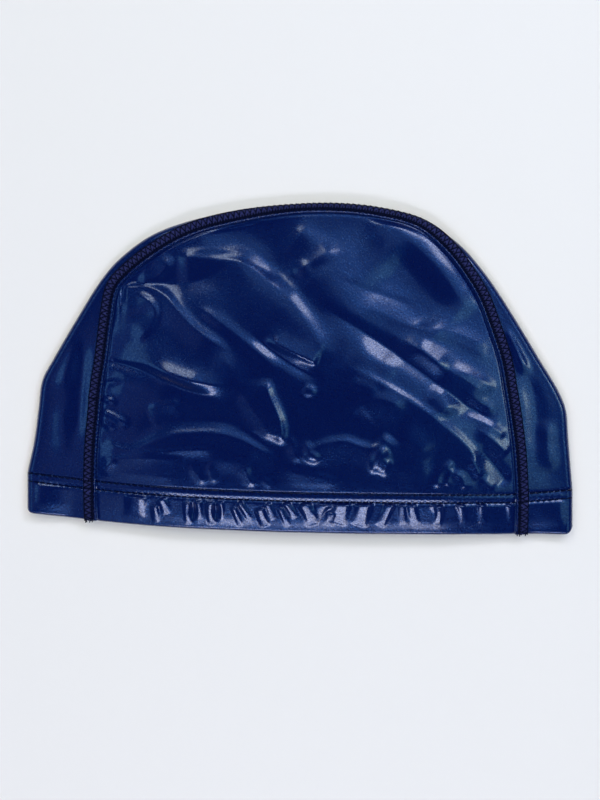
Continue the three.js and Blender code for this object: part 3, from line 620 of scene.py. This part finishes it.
def groupWith(name, inputs, outputs):
    group = bpy.data.node_groups.new(name, "ShaderNodeTree")
    for label, kind, value in inputs:
        socket = group.interface.new_socket(label, in_out="INPUT", socket_type=kind)
        if value is not None:
            socket.default_value = value
    for label in outputs:
        group.interface.new_socket(label, in_out="OUTPUT", socket_type="NodeSocketFloat")
    return group, group.nodes.new("NodeGroupInput"), group.nodes.new("NodeGroupOutput")


def node(tree, kind, values=None, **settings):
    made = tree.nodes.new(kind)
    for label, value in settings.items():
        setattr(made, label, value)
    setInputs(made, values or {})
    return made


def setInputs(target, values):
    for label, value in values.items():
        target.inputs[label].default_value = value


def join(source, output, target, socket):
    target.id_data.links.new(source.outputs[output], target.inputs[socket])


def makeGrain():
    # puts out a height for the coating's fine grain and its broader unevenness, and a mask of duller spots
    group, start, end = groupWith("CoatingGrain", [
        ("Place", "NodeSocketVector", None), ("Grain Size", "NodeSocketFloat", 0.0007),
        ("Broad Size", "NodeSocketFloat", 0.006)], ["Fine Height", "Broad Height", "Dull"])
    kinds = ("Grain Size", "Fine Height", 2.0, 0.6), ("Broad Size", "Broad Height", 3.0, 0.5)
    for label, output, detail, roughness in kinds:
        scale = node(group, "ShaderNodeMath", {0: 1}, operation="DIVIDE")
        join(start, label, scale, 1)
        noise = node(group, "ShaderNodeTexNoise", {"Detail": detail, "Roughness": roughness})
        join(start, "Place", noise, "Vector")
        join(scale, 0, noise, "Scale")
        join(noise, "Fac", end, output)
    spots = node(group, "ShaderNodeTexNoise", {"Scale": 1500, "Detail": 1})
    join(start, "Place", spots, "Vector")
    join(spots, "Fac", end, "Dull")
    return group


grain = makeGrain()


def newMaterial(name):
    material = bpy.data.materials.new(name)
    material.use_nodes = True
    return material, material.node_tree, material.node_tree.nodes["Principled BSDF"]


def makeCoatedCloth():
    material, tree, shader = newMaterial("coatedCloth")
    coords = node(tree, "ShaderNodeTexCoord")
    effect = node(tree, "ShaderNodeGroup", node_tree=grain)
    setInputs(effect, {"Grain Size": cloth["grainSize"], "Broad Size": cloth["broadSize"]})
    join(coords, "Object", effect, "Place")
    broad, fine = node(tree, "ShaderNodeBump"), node(tree, "ShaderNodeBump")
    for bump, height, depth in ((broad, "Broad Height", cloth["broadTilt"] * cloth["broadSize"]),
                                (fine, "Fine Height", cloth["grainTilt"] * cloth["grainSize"])):
        setInputs(bump, {"Strength": 1, "Distance": depth})
        join(effect, height, bump, "Height")
    join(broad, "Normal", fine, "Normal")
    join(fine, "Normal", shader, "Normal")
    for socket, low, high in (("Coat Weight", cloth["coat"] * 0.6, min(1, cloth["coat"] * 1.3)),
                              ("Roughness", cloth["roughness"] * 1.15, cloth["roughness"] * 0.9)):
        spread = node(tree, "ShaderNodeMapRange")
        setInputs(spread, {"From Min": 0.36, "From Max": 0.64, "To Min": low, "To Max": high})
        join(effect, "Dull", spread, "Value")
        join(spread, "Result", shader, socket)
    setInputs(shader, {"Base Color": (*cloth["colour"], 1), "Specular IOR Level": cloth["sheenLevel"],
                       "Specular Tint": (*cloth["sheenTint"], 1), "Coat Roughness": cloth["coatRoughness"]})
    return material


def makePlain(name, colour, roughness, level, tint=(1, 1, 1)):
    material, tree, shader = newMaterial(name)
    setInputs(shader, {"Base Color": (*colour, 1), "Roughness": roughness, "Specular IOR Level": level,
                       "Specular Tint": (*tint, 1)})
    return material


coated = makeCoatedCloth()
lining = makePlain("knitLining", cloth["lining"], 0.8, 0.2)
# the cloth under the seam threads: uncoated, and its lighter colour is a painted sheen
paintedSheenSeamCloth = makePlain("paintedSheenSeamCloth", cloth["sheenPaintedUnderThreads"], 0.8, 0.2)
threadDark = makePlain("darkThread", cloth["thread"], cloth["threadRoughness"], 0.15, cloth["threadTint"])
print("materials made")

# The upper and lower side panels, each with a number of points that leaves 1 over innerRatio
panels = dict(nearAcross=331, nearUp=202, farAcross=121, farUp=82)


def besideSeam(column, steps, shift=0.0):
    steps = np.asarray(steps, float)
    points = sectionCurve(column, steps)
    ahead = sectionCurve(column, np.clip(steps + 0.01, 0, lastSection))
    behind = sectionCurve(column, np.clip(steps - 0.01, 0, lastSection))
    way = ahead - behind
    way /= np.linalg.norm(way, axis=1, keepdims=True)
    return points + np.stack([way[:, 1], -way[:, 0]], 1) * shift


def evenSteps(column, first, last, count):
    # section numbers spaced evenly along a seam
    steps = np.linspace(first, last, 400)
    points = sectionCurve(column, steps)
    run = np.concatenate([[0], np.cumsum(np.linalg.norm(np.diff(points, axis=0), axis=1))])
    return np.interp(np.linspace(0, run[-1], count), run, steps)


def panelPlaces(column, across, up):
    # a grid stretched between the panel's two upright seam edges, its crown edge and the hem
    left = besideSeam(column, evenSteps(column, 0, leftCorner, up))[None]
    right = besideSeam(column, evenSteps(column, lastSection, rightCorner, up))[None]
    crown = besideSeam(column, evenSteps(column, leftCorner, rightCorner, across))[:, None]
    u = np.linspace(0, 1, across)[:, None, None]
    v = np.linspace(0, 1, up)[None, :, None]
    footX = left[0, 0, 0] + (right[0, 0, 0] - left[0, 0, 0]) * u[..., 0]
    foot = np.stack([footX, hemTop(footX)], -1)
    level = left * (1 - u) + right * u
    rise = foot * (1 - v) + crown * v
    lowCorners = left[:, :1] * (1 - u) + right[:, :1] * u
    highCorners = left[:, -1:] * (1 - u) + right[:, -1:] * u
    spots = level + rise - (lowCorners * (1 - v) + highCorners * v)
    return spots[..., 0], spots[..., 1]


nearPanel, nearArea = clothPiece("nearPanel", *panelPlaces(1, panels["nearAcross"], panels["nearUp"]), "near")
farPlaces = panelPlaces(2, panels["farAcross"], panels["farUp"])
farPanel, farArea = clothPiece("farPanel", *farPlaces, "far", faceUp=False)
print("panels made, areas", round(nearArea, 5), round(farArea, 5))

# The strip between the panels, folded in two over the cap's edge
strip = dict(along=480, nearColumns=42, farColumns=30, roundSteps=9)


def stripPlaces():
    ratio, radius = cap["innerRatio"], cap["roundRadius"]
    third = strip["along"] // 3
    steps = np.concatenate([
        evenSteps(0, 0, leftCorner, third)[:-1],
        evenSteps(0, leftCorner, rightCorner, third)[:-1],
        evenSteps(0, rightCorner, lastSection, third + 1),
    ])
    steps = steps[:(len(steps) - 1) // ratio * ratio + 1]
    steps[-1] = lastSection
    edge, top, under = (besideSeam(i, steps) for i in range(3))
    columns = [edge + (top - edge) * share for share in np.linspace(1, 0, strip["nearColumns"]) ** 1.8]
    width = np.linalg.norm(under - edge, axis=1)
    angles = np.linspace(0, math.pi / 2, strip["roundSteps"])[1:]
    depths = [np.full(len(width), radius * (1 - math.cos(angle))) for angle in angles]
    depths += [radius + (width - radius) * share for share in np.linspace(0, 1, strip["farColumns"])[1:]]
    farColumns = [edge + (under - edge) * (depth / width)[:, None] for depth in depths]
    while (len(columns) + len(farColumns) - 1) % ratio:
        columns.insert(1, (columns[0] + columns[1]) / 2)
    sides = np.array(["near"] * len(columns) + ["far"] * len(farColumns))
    spots = np.stack(columns + farColumns, 1)
    return spots[..., 0], spots[..., 1], np.broadcast_to(sides[None, :], spots.shape[:2])


stripPiece, stripArea = clothPiece("centreStrip", *stripPlaces())
print("strip made, area", round(stripArea, 5))

# The hem, a ring around the mouth with a rounded lower edge
hemMesh = dict(across=540, farAcross=180, rows=44, rimRows=7, roundSteps=10)


def mouthEdge(x):
    # the mouth's edge with its two round corners
    rise = mouthY(x)
    half = cap["width"] / 2
    for radius, depth in ((cap["cornerRight"], half - x), (cap["cornerLeft"], x + half)):
        share = 1 - np.minimum(depth / radius, 1)
        rise = rise + radius * (1 - np.sqrt(np.clip(1 - share ** 2, 0, 1)))
    return rise


def hemPlaces():
    left, right = foldPath[0][0], foldPath[-1][0]
    radius = cap["roundRadius"]
    turned = radius * (1 - np.cos(np.linspace(0, math.pi / 2, hemMesh["roundSteps"])))[:-1]
    top = np.linspace(left + radius, right - radius, hemMesh["across"])
    under = np.linspace(right - radius, left + radius, hemMesh["farAcross"])
    columns = np.concatenate([left + turned, top, (right - turned[1:])[::-1], right - turned, under,
                              (left + turned[1:])[::-1]])
    nearCount = len(turned) + len(top) + len(turned) - 1
    sides = np.array(["near"] * nearCount + ["far"] * (len(columns) - nearCount))
    return columns, sides


columns, sides = hemPlaces()
halfWall = cap["hemWall"] / 2
rimReach = halfWall * (1 - np.cos(np.linspace(0, math.pi / 2, hemMesh["rimRows"])))
reaches = np.concatenate([rimReach, np.linspace(halfWall, cap["hemDepth"], hemMesh["rows"])[1:]])
x = np.repeat(columns[:, None], len(reaches), 1)
y = mouthEdge(x) + (hemTop(x) - mouthEdge(x)) * reaches[None, :] / cap["hemDepth"]
sides = np.repeat(sides[:, None], len(reaches), 1)
points, normals = skin(sides, x, y, gridNormals=True)
wrapped = np.concatenate([points[-1:], points, points[:1]])
normals = normalsOf(wrapped)[1:-1]
if normals[hemMesh["across"] // 2, 20, 2] < 0:
    normals = -normals
thickness = halfWall * np.sqrt(np.clip(1 - (1 - np.minimum(reaches / halfWall, 1)) ** 2, 0, 1))
middle = points - normals * halfWall
outer = middle + normals * thickness[None, :, None]
inner = middle - normals * thickness[None, :, None]
profile = np.concatenate([inner[:, ::-1], outer[:, 1:]], 1)  # up the inside, round the rim and up the outside
profile[:, :, 2] = np.maximum(profile[:, :, 2], 0)  # the floor flattens the dents of the lower rows
rows, cols = profile.shape[:2]
faces = gridFaces(rows, cols, loop=True)
index = np.arange(rows * cols).reshape(rows, cols)
nextIndex = np.roll(index, -1, 0)
topFaces = np.stack([index[:, -1], nextIndex[:, -1], nextIndex[:, 0], index[:, 0]], 1)
allFaces = np.vstack([faces, topFaces])
rowOf, colOf = hemMesh["across"] // 2, len(reaches) + 20
a = profile[rowOf + 1, colOf] - profile[rowOf, colOf]
b = profile[rowOf, colOf + 1] - profile[rowOf, colOf]
if np.cross(a, b)[2] < 0:
    allFaces = allFaces[:, ::-1]
insideCount = len(reaches) - 3
faceColumn = np.tile(np.arange(cols - 1), rows)
kinds = np.concatenate([np.where(faceColumn < insideCount, 1, 0), np.ones(len(topFaces), int)])
hemPiece = meshObject("hemBand", profile.reshape(-1, 3), allFaces, [coated, lining], kinds)
print("hem made, area", round(surfaceArea(np.concatenate([outer, outer[:1]])), 5))

# The overlocked seams: a raised band of cloth along each joint, with looped threads over it
seam = dict(
    width=5.0, height=0.7, dome=0.7, sunk=0.15, spacing=0.45,
    shares=(-1, -0.92, -0.75, -0.5, -0.25, 0, 0.25, 0.45, 0.6, 0.7, 0.76, 0.81, 0.86, 0.91, 0.96, 1),
    cordAt=0.84, cordRise=0.32, cordWidth=0.09, cordPitch=1.7,  # the cloth's rolled edge beside the threads
    pitch=2.35, threadRadius=0.22, pointsPerLoop=20, sides=6,
    tails=4, tailSpread=0.45, tailFrom=1.2, tailReach=(1.7, 2.3), tailDrop=0.9, tailLift=0.7, seed=3,
    paintedSheenTo=0.7,  # share of the half width up to which the cloth under the threads is uncoated and painted lighter, a painted sheen
)
# One loop of the overlock's outer thread: time, share of its length, share across the seam, lift in radii
outerLoop = np.array([
    (0.0, 0.0, -0.95, 1.0), (0.12, 0.1, -0.82, 1.2), (0.26, 0.24, -0.45, 1.6), (0.38, 0.38, -0.1, 1.9),
    (0.48, 0.5, 0.04, 2.2), (0.58, 0.6, -0.1, 2.3), (0.72, 0.74, -0.5, 2.1), (0.86, 0.9, -0.85, 1.6),
    (1.0, 1.0, -0.95, 1.0),
])


def seamLine(path, spacing):
    # evenly spaced points along a seam with the way across it, towards the panel
    lengths = np.linalg.norm(np.diff(path, axis=0), axis=1)
    run = np.concatenate([[0], np.cumsum(lengths)])
    count = int(round(run[-1] / spacing)) + 1
    at = np.linspace(0, run[-1], count)
    points = np.stack([np.interp(at, run, path[:, i]) for i in range(2)], 1)
    way = np.gradient(points, axis=0)
    smooth = np.ones(5) / 5
    way = np.stack([np.convolve(np.pad(way[:, i], 2, mode="edge"), smooth, "valid") for i in range(2)], 1)
    way /= np.linalg.norm(way, axis=1, keepdims=True)
    return at, points, np.stack([way[:, 1], -way[:, 0]], 1)


def onSeam(side, path, along, across, lift):
    # points above the cloth at a length along the seam and a distance across it
    at, points, way = seamLine(path, 0.5)
    px, py, wx, wy = (np.interp(along, at, values) for values in (*points.T, *way.T))
    size = np.hypot(wx, wy)
    sides, x, y = walk(side, px, py, wx / size, wy / size, across)
    spots, normals = skin(sides, x, y)
    return spots + normals * np.asarray(lift)[..., None]


def domeHeight(share):
    return seam["height"] * np.sqrt(np.clip(1 - seam["dome"] * share ** 2, 0, 1))


def seamBand(name, side, path):
    at, points, way = seamLine(path, seam["spacing"])
    share = np.array(seam["shares"])
    along = np.repeat(at[:, None], len(share), 1)
    across = np.repeat((share * seam["width"] / 2)[None], len(at), 0)
    cord = seam["cordRise"] * np.exp(-((share - seam["cordAt"]) / seam["cordWidth"]) ** 2)[None]
    cord = cord * (0.7 + 0.3 * np.cos(2 * math.pi * along / seam["cordPitch"]))
    top = onSeam(side, path, along, across, domeHeight(share)[None] + cord)
    bottom = onSeam(side, path, along, across, np.full(across.shape, -seam["sunk"]))
    ring = np.concatenate([top, bottom[:, ::-1], top[:, :1]], 1)[:, :-1]
    rows, cols = ring.shape[:2]
    index = np.arange(rows * cols).reshape(rows, cols)
    nextColumn = np.roll(index, -1, 1)
    faces = np.stack([index[:-1], index[1:], nextColumn[1:], nextColumn[:-1]], -1).reshape(-1, 4)
    probe = ring[rows // 2], ring[rows // 2 + 1]
    a, b = probe[1][5] - probe[0][5], probe[0][6] - probe[0][5]
    outward = top[rows // 2, 5] - bottom[rows // 2, 5]
    if np.dot(np.cross(a, b), outward) < 0:
        faces = faces[:, ::-1]
        endFaces = [index[0], index[-1][::-1]]
    else:
        endFaces = [index[0][::-1], index[-1]]
    obj = meshObject(name, ring.reshape(-1, 3), [*faces.tolist(), *endFaces], [coated, paintedSheenSeamCloth])
    # the faces under the threads take the uncoated cloth that is painted lighter, a painted sheen
    plain = np.zeros((rows - 1, cols), int)
    plain[:, :np.searchsorted(share, seam["paintedSheenTo"])] = 1
    obj.data.polygons.foreach_set("material_index", [*plain.ravel().tolist(), 0, 0])
    return obj


def threadLines(side, path, fineness):
    # the strands of the overlock as rows of points: [along, across, lift] for each strand
    length = np.linalg.norm(np.diff(path, axis=0), axis=1).sum()
    half, pitch = seam["width"] / 2, seam["pitch"]
    loops = int(length / pitch)
    pitch = length / loops
    t = np.linspace(0, loops, loops * fineness + 1)
    turn = 2 * math.pi * t
    radius = seam["threadRadius"]
    strands = []

    def add(along, share, lift):
        strands.append((along * pitch, share * half, domeHeight(share) + radius * lift))

    time = t % 1
    along, across, lift = (np.interp(time, outerLoop[:, 0], outerLoop[:, i]) for i in (1, 2, 3))
    add(np.floor(t) + along, across, lift)
    add(t, -0.98 + 0.03 * np.sin(2 * turn), 0.9 + 0 * t)
    add(t + 0.2 * np.sin(turn), 0.24 + 0.22 * np.cos(turn), 1.2 + np.sin(turn))
    add(t - 0.2 * np.sin(turn), 0.28 - 0.22 * np.cos(turn), 1.2 - np.sin(turn))
    add(t, 0.62 + 0.04 * np.sin(turn), 0.9 + 0 * t)
    add(t + 0.25, 0.46 + 0.1 * np.cos(2 * turn), 0.9 + 0 * t)
    lines = []
    for along, across, lift in strands:
        line = onSeam(side, path, np.clip(along, 0, length), across, lift)
        line[:, 2] = np.maximum(line[:, 2], radius)  # the floor flattens the lower threads
        lines.append(line)
    return lines


def lineMesh(name, lines):
    # a mesh of points joined in rows, one row for each strand
    points, edges, first = [], [], 0
    for line in lines:
        points.append(np.asarray(line))
        edges += [(first + i, first + i + 1) for i in range(len(line) - 1)]
        first += len(line)
    mesh = bpy.data.meshes.new(name)
    mesh.from_pydata(toMetres(np.vstack(points)).tolist(), edges, [])
    return inScene(name, mesh)


def geometryGroup(name, inputs):
    group = bpy.data.node_groups.new(name, "GeometryNodeTree")
    group.interface.new_socket("Geometry", in_out="INPUT", socket_type="NodeSocketGeometry")
    identifiers = {}
    for label, kind, value in inputs:
        socket = group.interface.new_socket(label, in_out="INPUT", socket_type=kind)
        if value is not None:
            socket.default_value = value
        identifiers[label] = socket.identifier
    group.interface.new_socket("Geometry", in_out="OUTPUT", socket_type="NodeSocketGeometry")
    return group, group.nodes.new("NodeGroupInput"), group.nodes.new("NodeGroupOutput"), identifiers


def finishGroup(group, start, last, output, end):
    # smooth, real and painted with the group's material
    smooth, real = node(group, "GeometryNodeSetShadeSmooth"), node(group, "GeometryNodeRealizeInstances")
    paint = node(group, "GeometryNodeSetMaterial")
    join(last, output, smooth, "Geometry")
    join(smooth, "Geometry", real, "Geometry")
    join(real, "Geometry", paint, "Geometry")
    join(start, "Material", paint, "Material")
    join(paint, "Geometry", end, "Geometry")


def makeStrands():
    # turns rows of points into round threads
    group, start, end, identifiers = geometryGroup("ThreadStrands", [
        ("Thread Radius", "NodeSocketFloat", 0.0002), ("Sides", "NodeSocketInt", 6),
        ("Material", "NodeSocketMaterial", None)])
    curve, profile = node(group, "GeometryNodeMeshToCurve"), node(group, "GeometryNodeCurvePrimitiveCircle")
    tube = node(group, "GeometryNodeCurveToMesh", {"Fill Caps": True})
    join(start, "Geometry", curve, "Mesh")
    join(start, "Sides", profile, "Resolution")
    join(start, "Thread Radius", profile, "Radius")
    join(curve, "Curve", tube, "Curve")
    join(profile, "Curve", tube, "Profile Curve")
    finishGroup(group, start, tube, "Mesh", end)
    return group, identifiers


strandGroup, strandInputs = makeStrands()


def withNodes(name, guide, group, identifiers, values):
    # runs a geometry group on a guide and keeps the outcome as a plain mesh
    modifier = guide.modifiers.new("nodes", "NODES")
    modifier.node_group = group
    for label, value in values.items():
        modifier[identifiers[label]] = value
    bpy.context.view_layer.update()
    evaluated = guide.evaluated_get(bpy.context.evaluated_depsgraph_get())
    mesh = bpy.data.meshes.new_from_object(evaluated)
    mesh.name = name
    guide.modifiers.remove(modifier)
    bpy.data.objects.remove(guide)
    return inScene(name, mesh)


nearBand = seamBand("nearSeamBand", "near", nearPath)
farBand = seamBand("farSeamBand", "far", farPath)
nearLines = threadLines("near", nearPath, seam["pointsPerLoop"])
farLines = threadLines("far", farPath, seam["pointsPerLoop"] // 2)


def tailLines(side, path):
    # loose ends of thread that stick out past the mouth's edge
    rng = np.random.default_rng(seam["seed"])
    lines = []
    for end in (0, -1):
        corner = np.array([*path[end], 0])
        for i in range(seam["tails"]):
            shift = rng.uniform(-seam["tailSpread"], seam["tailSpread"]) * seam["width"]
            start = skin(side, np.array([corner[0] + shift]), np.array([corner[1] + seam["tailFrom"]]))[0][0]
            t = np.linspace(0, 1, 9)[:, None]
            sweep = np.array([rng.uniform(-0.5, 0.5), -rng.uniform(*seam["tailReach"]), -seam["tailDrop"]])
            curl = np.array([rng.uniform(-0.3, 0.3), 0, 0.25])
            lines.append(start + [0, 0, seam["tailLift"]] + sweep * t + curl * np.sin(math.pi * t * 1.5))
    return lines


values = {"Thread Radius": seam["threadRadius"] * 0.001, "Sides": seam["sides"], "Material": threadDark}
nearThreads = withNodes("nearSeamThreads", lineMesh("nearGuide", nearLines + tailLines("near", nearPath)),
                        strandGroup, strandInputs, values)
values["Sides"] = 4
farThreads = withNodes("farSeamThreads", lineMesh("farGuide", farLines), strandGroup, strandInputs, values)
print("seams made, threads", len(nearThreads.data.polygons), len(farThreads.data.polygons))

# The two rows of stitches that hold the hem, all the way round
stitches = dict(
    length=2.1, bow=0.3, radius=0.19, nearLift=0.05, farSunk=0.54, seed=4,
    smallest=(0.88, 0.9, 0.85), largest=(1.08, 1.15, 1.15),  # range of a stitch's length, width and bow
)


def makeStitches():
    # lays one bowed stitch on each point, along the point's own way and standing on its own normal
    group, start, end, identifiers = geometryGroup("RowOfStitches", [
        ("Stitch Length", "NodeSocketFloat", 0.002), ("Stitch Bow", "NodeSocketFloat", 0.0004),
        ("Thread Radius", "NodeSocketFloat", 0.0002), ("Seed", "NodeSocketInt", 4),
        ("Material", "NodeSocketMaterial", None)])
    half = node(group, "ShaderNodeMath", {1: 0.5}, operation="MULTIPLY")
    minus = node(group, "ShaderNodeMath", {1: -0.5}, operation="MULTIPLY")
    join(start, "Stitch Length", half, 0)
    join(start, "Stitch Length", minus, 0)
    startPoint, endPoint, topPoint = (node(group, "ShaderNodeCombineXYZ") for i in range(3))
    join(minus, 0, startPoint, "X")
    join(half, 0, endPoint, "X")
    join(start, "Stitch Bow", topPoint, "Z")
    arc = node(group, "GeometryNodeCurveQuadraticBezier", {"Resolution": 6})
    join(startPoint, 0, arc, "Start")
    join(topPoint, 0, arc, "Middle")
    join(endPoint, 0, arc, "End")
    profile = node(group, "GeometryNodeCurvePrimitiveCircle", {"Resolution": 6})
    join(start, "Thread Radius", profile, "Radius")
    tube = node(group, "GeometryNodeCurveToMesh", {"Fill Caps": True})
    join(arc, "Curve", tube, "Curve")
    join(profile, "Curve", tube, "Profile Curve")
    way, stand = (node(group, "GeometryNodeInputNamedAttribute", {"Name": name}, data_type="FLOAT_VECTOR")
                  for name in ("stitchWay", "stitchUp"))
    turn = node(group, "FunctionNodeAxesToRotation", primary_axis="Z", secondary_axis="X")
    join(stand, "Attribute", turn, "Primary Axis")
    join(way, "Attribute", turn, "Secondary Axis")
    size = node(group, "FunctionNodeRandomValue", data_type="FLOAT_VECTOR")
    setInputs(size, {"Min": stitches["smallest"], "Max": stitches["largest"]})
    join(start, "Seed", size, "Seed")
    copies = node(group, "GeometryNodeInstanceOnPoints")
    join(start, "Geometry", copies, "Points")
    join(tube, "Mesh", copies, "Instance")
    join(turn, "Rotation", copies, "Rotation")
    join(size, "Value", copies, "Scale")
    finishGroup(group, start, copies, "Instances", end)
    return group, identifiers


def stitchGuides(name):
    left, right = foldPath[0][0], foldPath[-1][0]
    places, ways, ups = [], [], []
    for row in hem["rows"]:
        for side in ("near", "far"):
            count = int((right - left) / hem["stitchPitch"])
            x = (np.arange(count) - count // 2 + 0.5) * hem["stitchPitch"]
            x = x[(x > left + 1) & (x < right - 1)]
            y = hemTop(x) - row
            points, normals = skin(side, x, y)
            ahead, behind = (skin(side, x + step, hemTop(x + step) - row)[0] for step in (0.4, -0.4))
            lift = stitches["nearLift"] if side == "near" else -stitches["farSunk"]
            places.append(points + normals * lift)
            ways.append(ahead - behind)
            ups.append(normals)
    places, ways, ups = np.vstack(places), np.vstack(ways), np.vstack(ups)
    mesh = bpy.data.meshes.new(name)
    mesh.from_pydata(toMetres(places).tolist(), [], [])
    for label, values in (("stitchWay", ways), ("stitchUp", ups)):
        attribute = mesh.attributes.new(label, "FLOAT_VECTOR", "POINT")
        attribute.data.foreach_set("vector", values.astype(np.float32).ravel())
    return inScene(name, mesh)


values = {"Stitch Length": stitches["length"] * 0.001, "Stitch Bow": stitches["bow"] * 0.002,
          "Thread Radius": stitches["radius"] * 0.001, "Seed": stitches["seed"], "Material": threadDark}
stitchGroup, stitchInputs = makeStitches()
hemStitches = withNodes("hemStitches", stitchGuides("stitchGuides"), stitchGroup, stitchInputs, values)
print("hem stitches made", len(hemStitches.data.polygons))

# What stands for which part of the frame
for piece, cadNode, slot in (
        (nearPanel, "near_side_panel", "coated_cloth"), (farPanel, "far_side_panel", "coated_cloth"),
        (stripPiece, "centre_strip", "coated_cloth"), (hemPiece, "hem_band", "coated_cloth"),
        (nearBand, "near_seam", "coated_cloth"), (farBand, "far_seam", "coated_cloth"),
        (nearThreads, "near_seam", "seam_thread"), (farThreads, "far_seam", "seam_thread"),
        (hemStitches, None, "seam_thread")):
    if cadNode:
        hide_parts(cadNode)
    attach(piece, "root")

floorHalf = 3000
floorCorners = [(x * floorHalf, y * floorHalf, 0) for x, y in ((-1, -1), (1, -1), (1, 1), (-1, 1))]
floor = meshObject("floor", floorCorners, [(0, 1, 2, 3)], [])

# Floor, light and camera
studio = dict(
    floorColour=(0.81, 0.806, 0.80),
    zenith=(0.002, 0.006, 0.02), horizon=(0.045, 0.12, 0.32),
    darkCap=0.86, brightFrom=0.35,  # heights of the sky between which it turns from dark to bright
    hiddenInGloss="overhead",  # the light that only the dull surfaces see
)
floor.data.materials.append(makePlain("floor", studio["floorColour"], 1, 0))

world = bpy.data.worlds.new("studio")
bpy.context.scene.world = world
world.use_nodes = True
tree = world.node_tree
coords, split = node(tree, "ShaderNodeTexCoord"), node(tree, "ShaderNodeSeparateXYZ")
fade, colours = node(tree, "ShaderNodeMapRange"), node(tree, "ShaderNodeMix", data_type="RGBA")
setInputs(fade, {"From Min": studio["brightFrom"], "From Max": studio["darkCap"]})
join(coords, "Generated", split, 0)
join(split, "Z", fade, "Value")
join(fade, "Result", colours, "Factor")
setInputs(colours, {6: (*studio["horizon"], 1), 7: (*studio["zenith"], 1)})
tree.links.new(colours.outputs[2], tree.nodes["Background"].inputs["Color"])

# Lights: name, compass turn from +X, angle from straight up, distance and size in metres, radiance, colour
lamps = [
    ("windowRight", 54, 43, 1.1, (0.42, 0.27), 9.4, (0.8, 0.82, 1)),
    ("softRight", 50, 27, 1.2, (0.94, 0.62), 0.7, (0.25, 0.54, 1)),
    ("windowFront", -90, 43, 1.1, (0.57, 0.23), 10, (0.85, 0.84, 1)),
    ("fillLeft", 172, 42, 1.3, (0.8, 0.4), 1.6, (0.25, 0.6, 1)),
    ("softLeft", 178, 25, 1.2, (0.6, 0.26), 0.36, (0.34, 0.5, 1)),
    ("greenSide", -5, 33, 1.2, (0.5, 0.4), 1.1, (0.3, 0.75, 1)),
    ("softFront", -112, 34, 1.2, (0.8, 0.34), 0.7, (0.34, 0.56, 1)),
    ("windowTop", 105, 41, 1.1, (0.36, 0.18), 6.5, (0.78, 0.88, 1)),
    ("windowSide", 12, 41, 1.1, (0.22, 0.2), 6, (0.78, 0.97, 0.92)),
    ("overhead", 130, 20, 3, (3.8, 3.8), 1.55, (1, 0.83, 0.46)),
]
for name, turn, tilt, distance, size, radiance, colour in lamps:
    data = bpy.data.lights.new(name, "AREA")
    data.shape = "RECTANGLE"
    data.size, data.size_y = size
    data.color = colour
    data.energy = radiance * math.pi * size[0] * size[1]
    light = inScene(name, data)
    light.visible_glossy = name != studio["hiddenInGloss"]
    turn, tilt = math.radians(turn), math.radians(tilt)
    way = Vector((math.sin(tilt) * math.cos(turn), math.sin(tilt) * math.sin(turn), math.cos(tilt)))
    light.location = way * distance
    light.rotation_euler = way.to_track_quat("Z", "Y").to_euler()

camera = inScene("camera", bpy.data.cameras.new("camera"))
camera.data.lens, camera.data.sensor_width = 50, 36
camera.location = (0, -0.0135, 0.4719)  # straight above, as in the photo
bpy.context.scene.camera = camera
bpy.context.scene.view_settings.view_transform = "Standard"
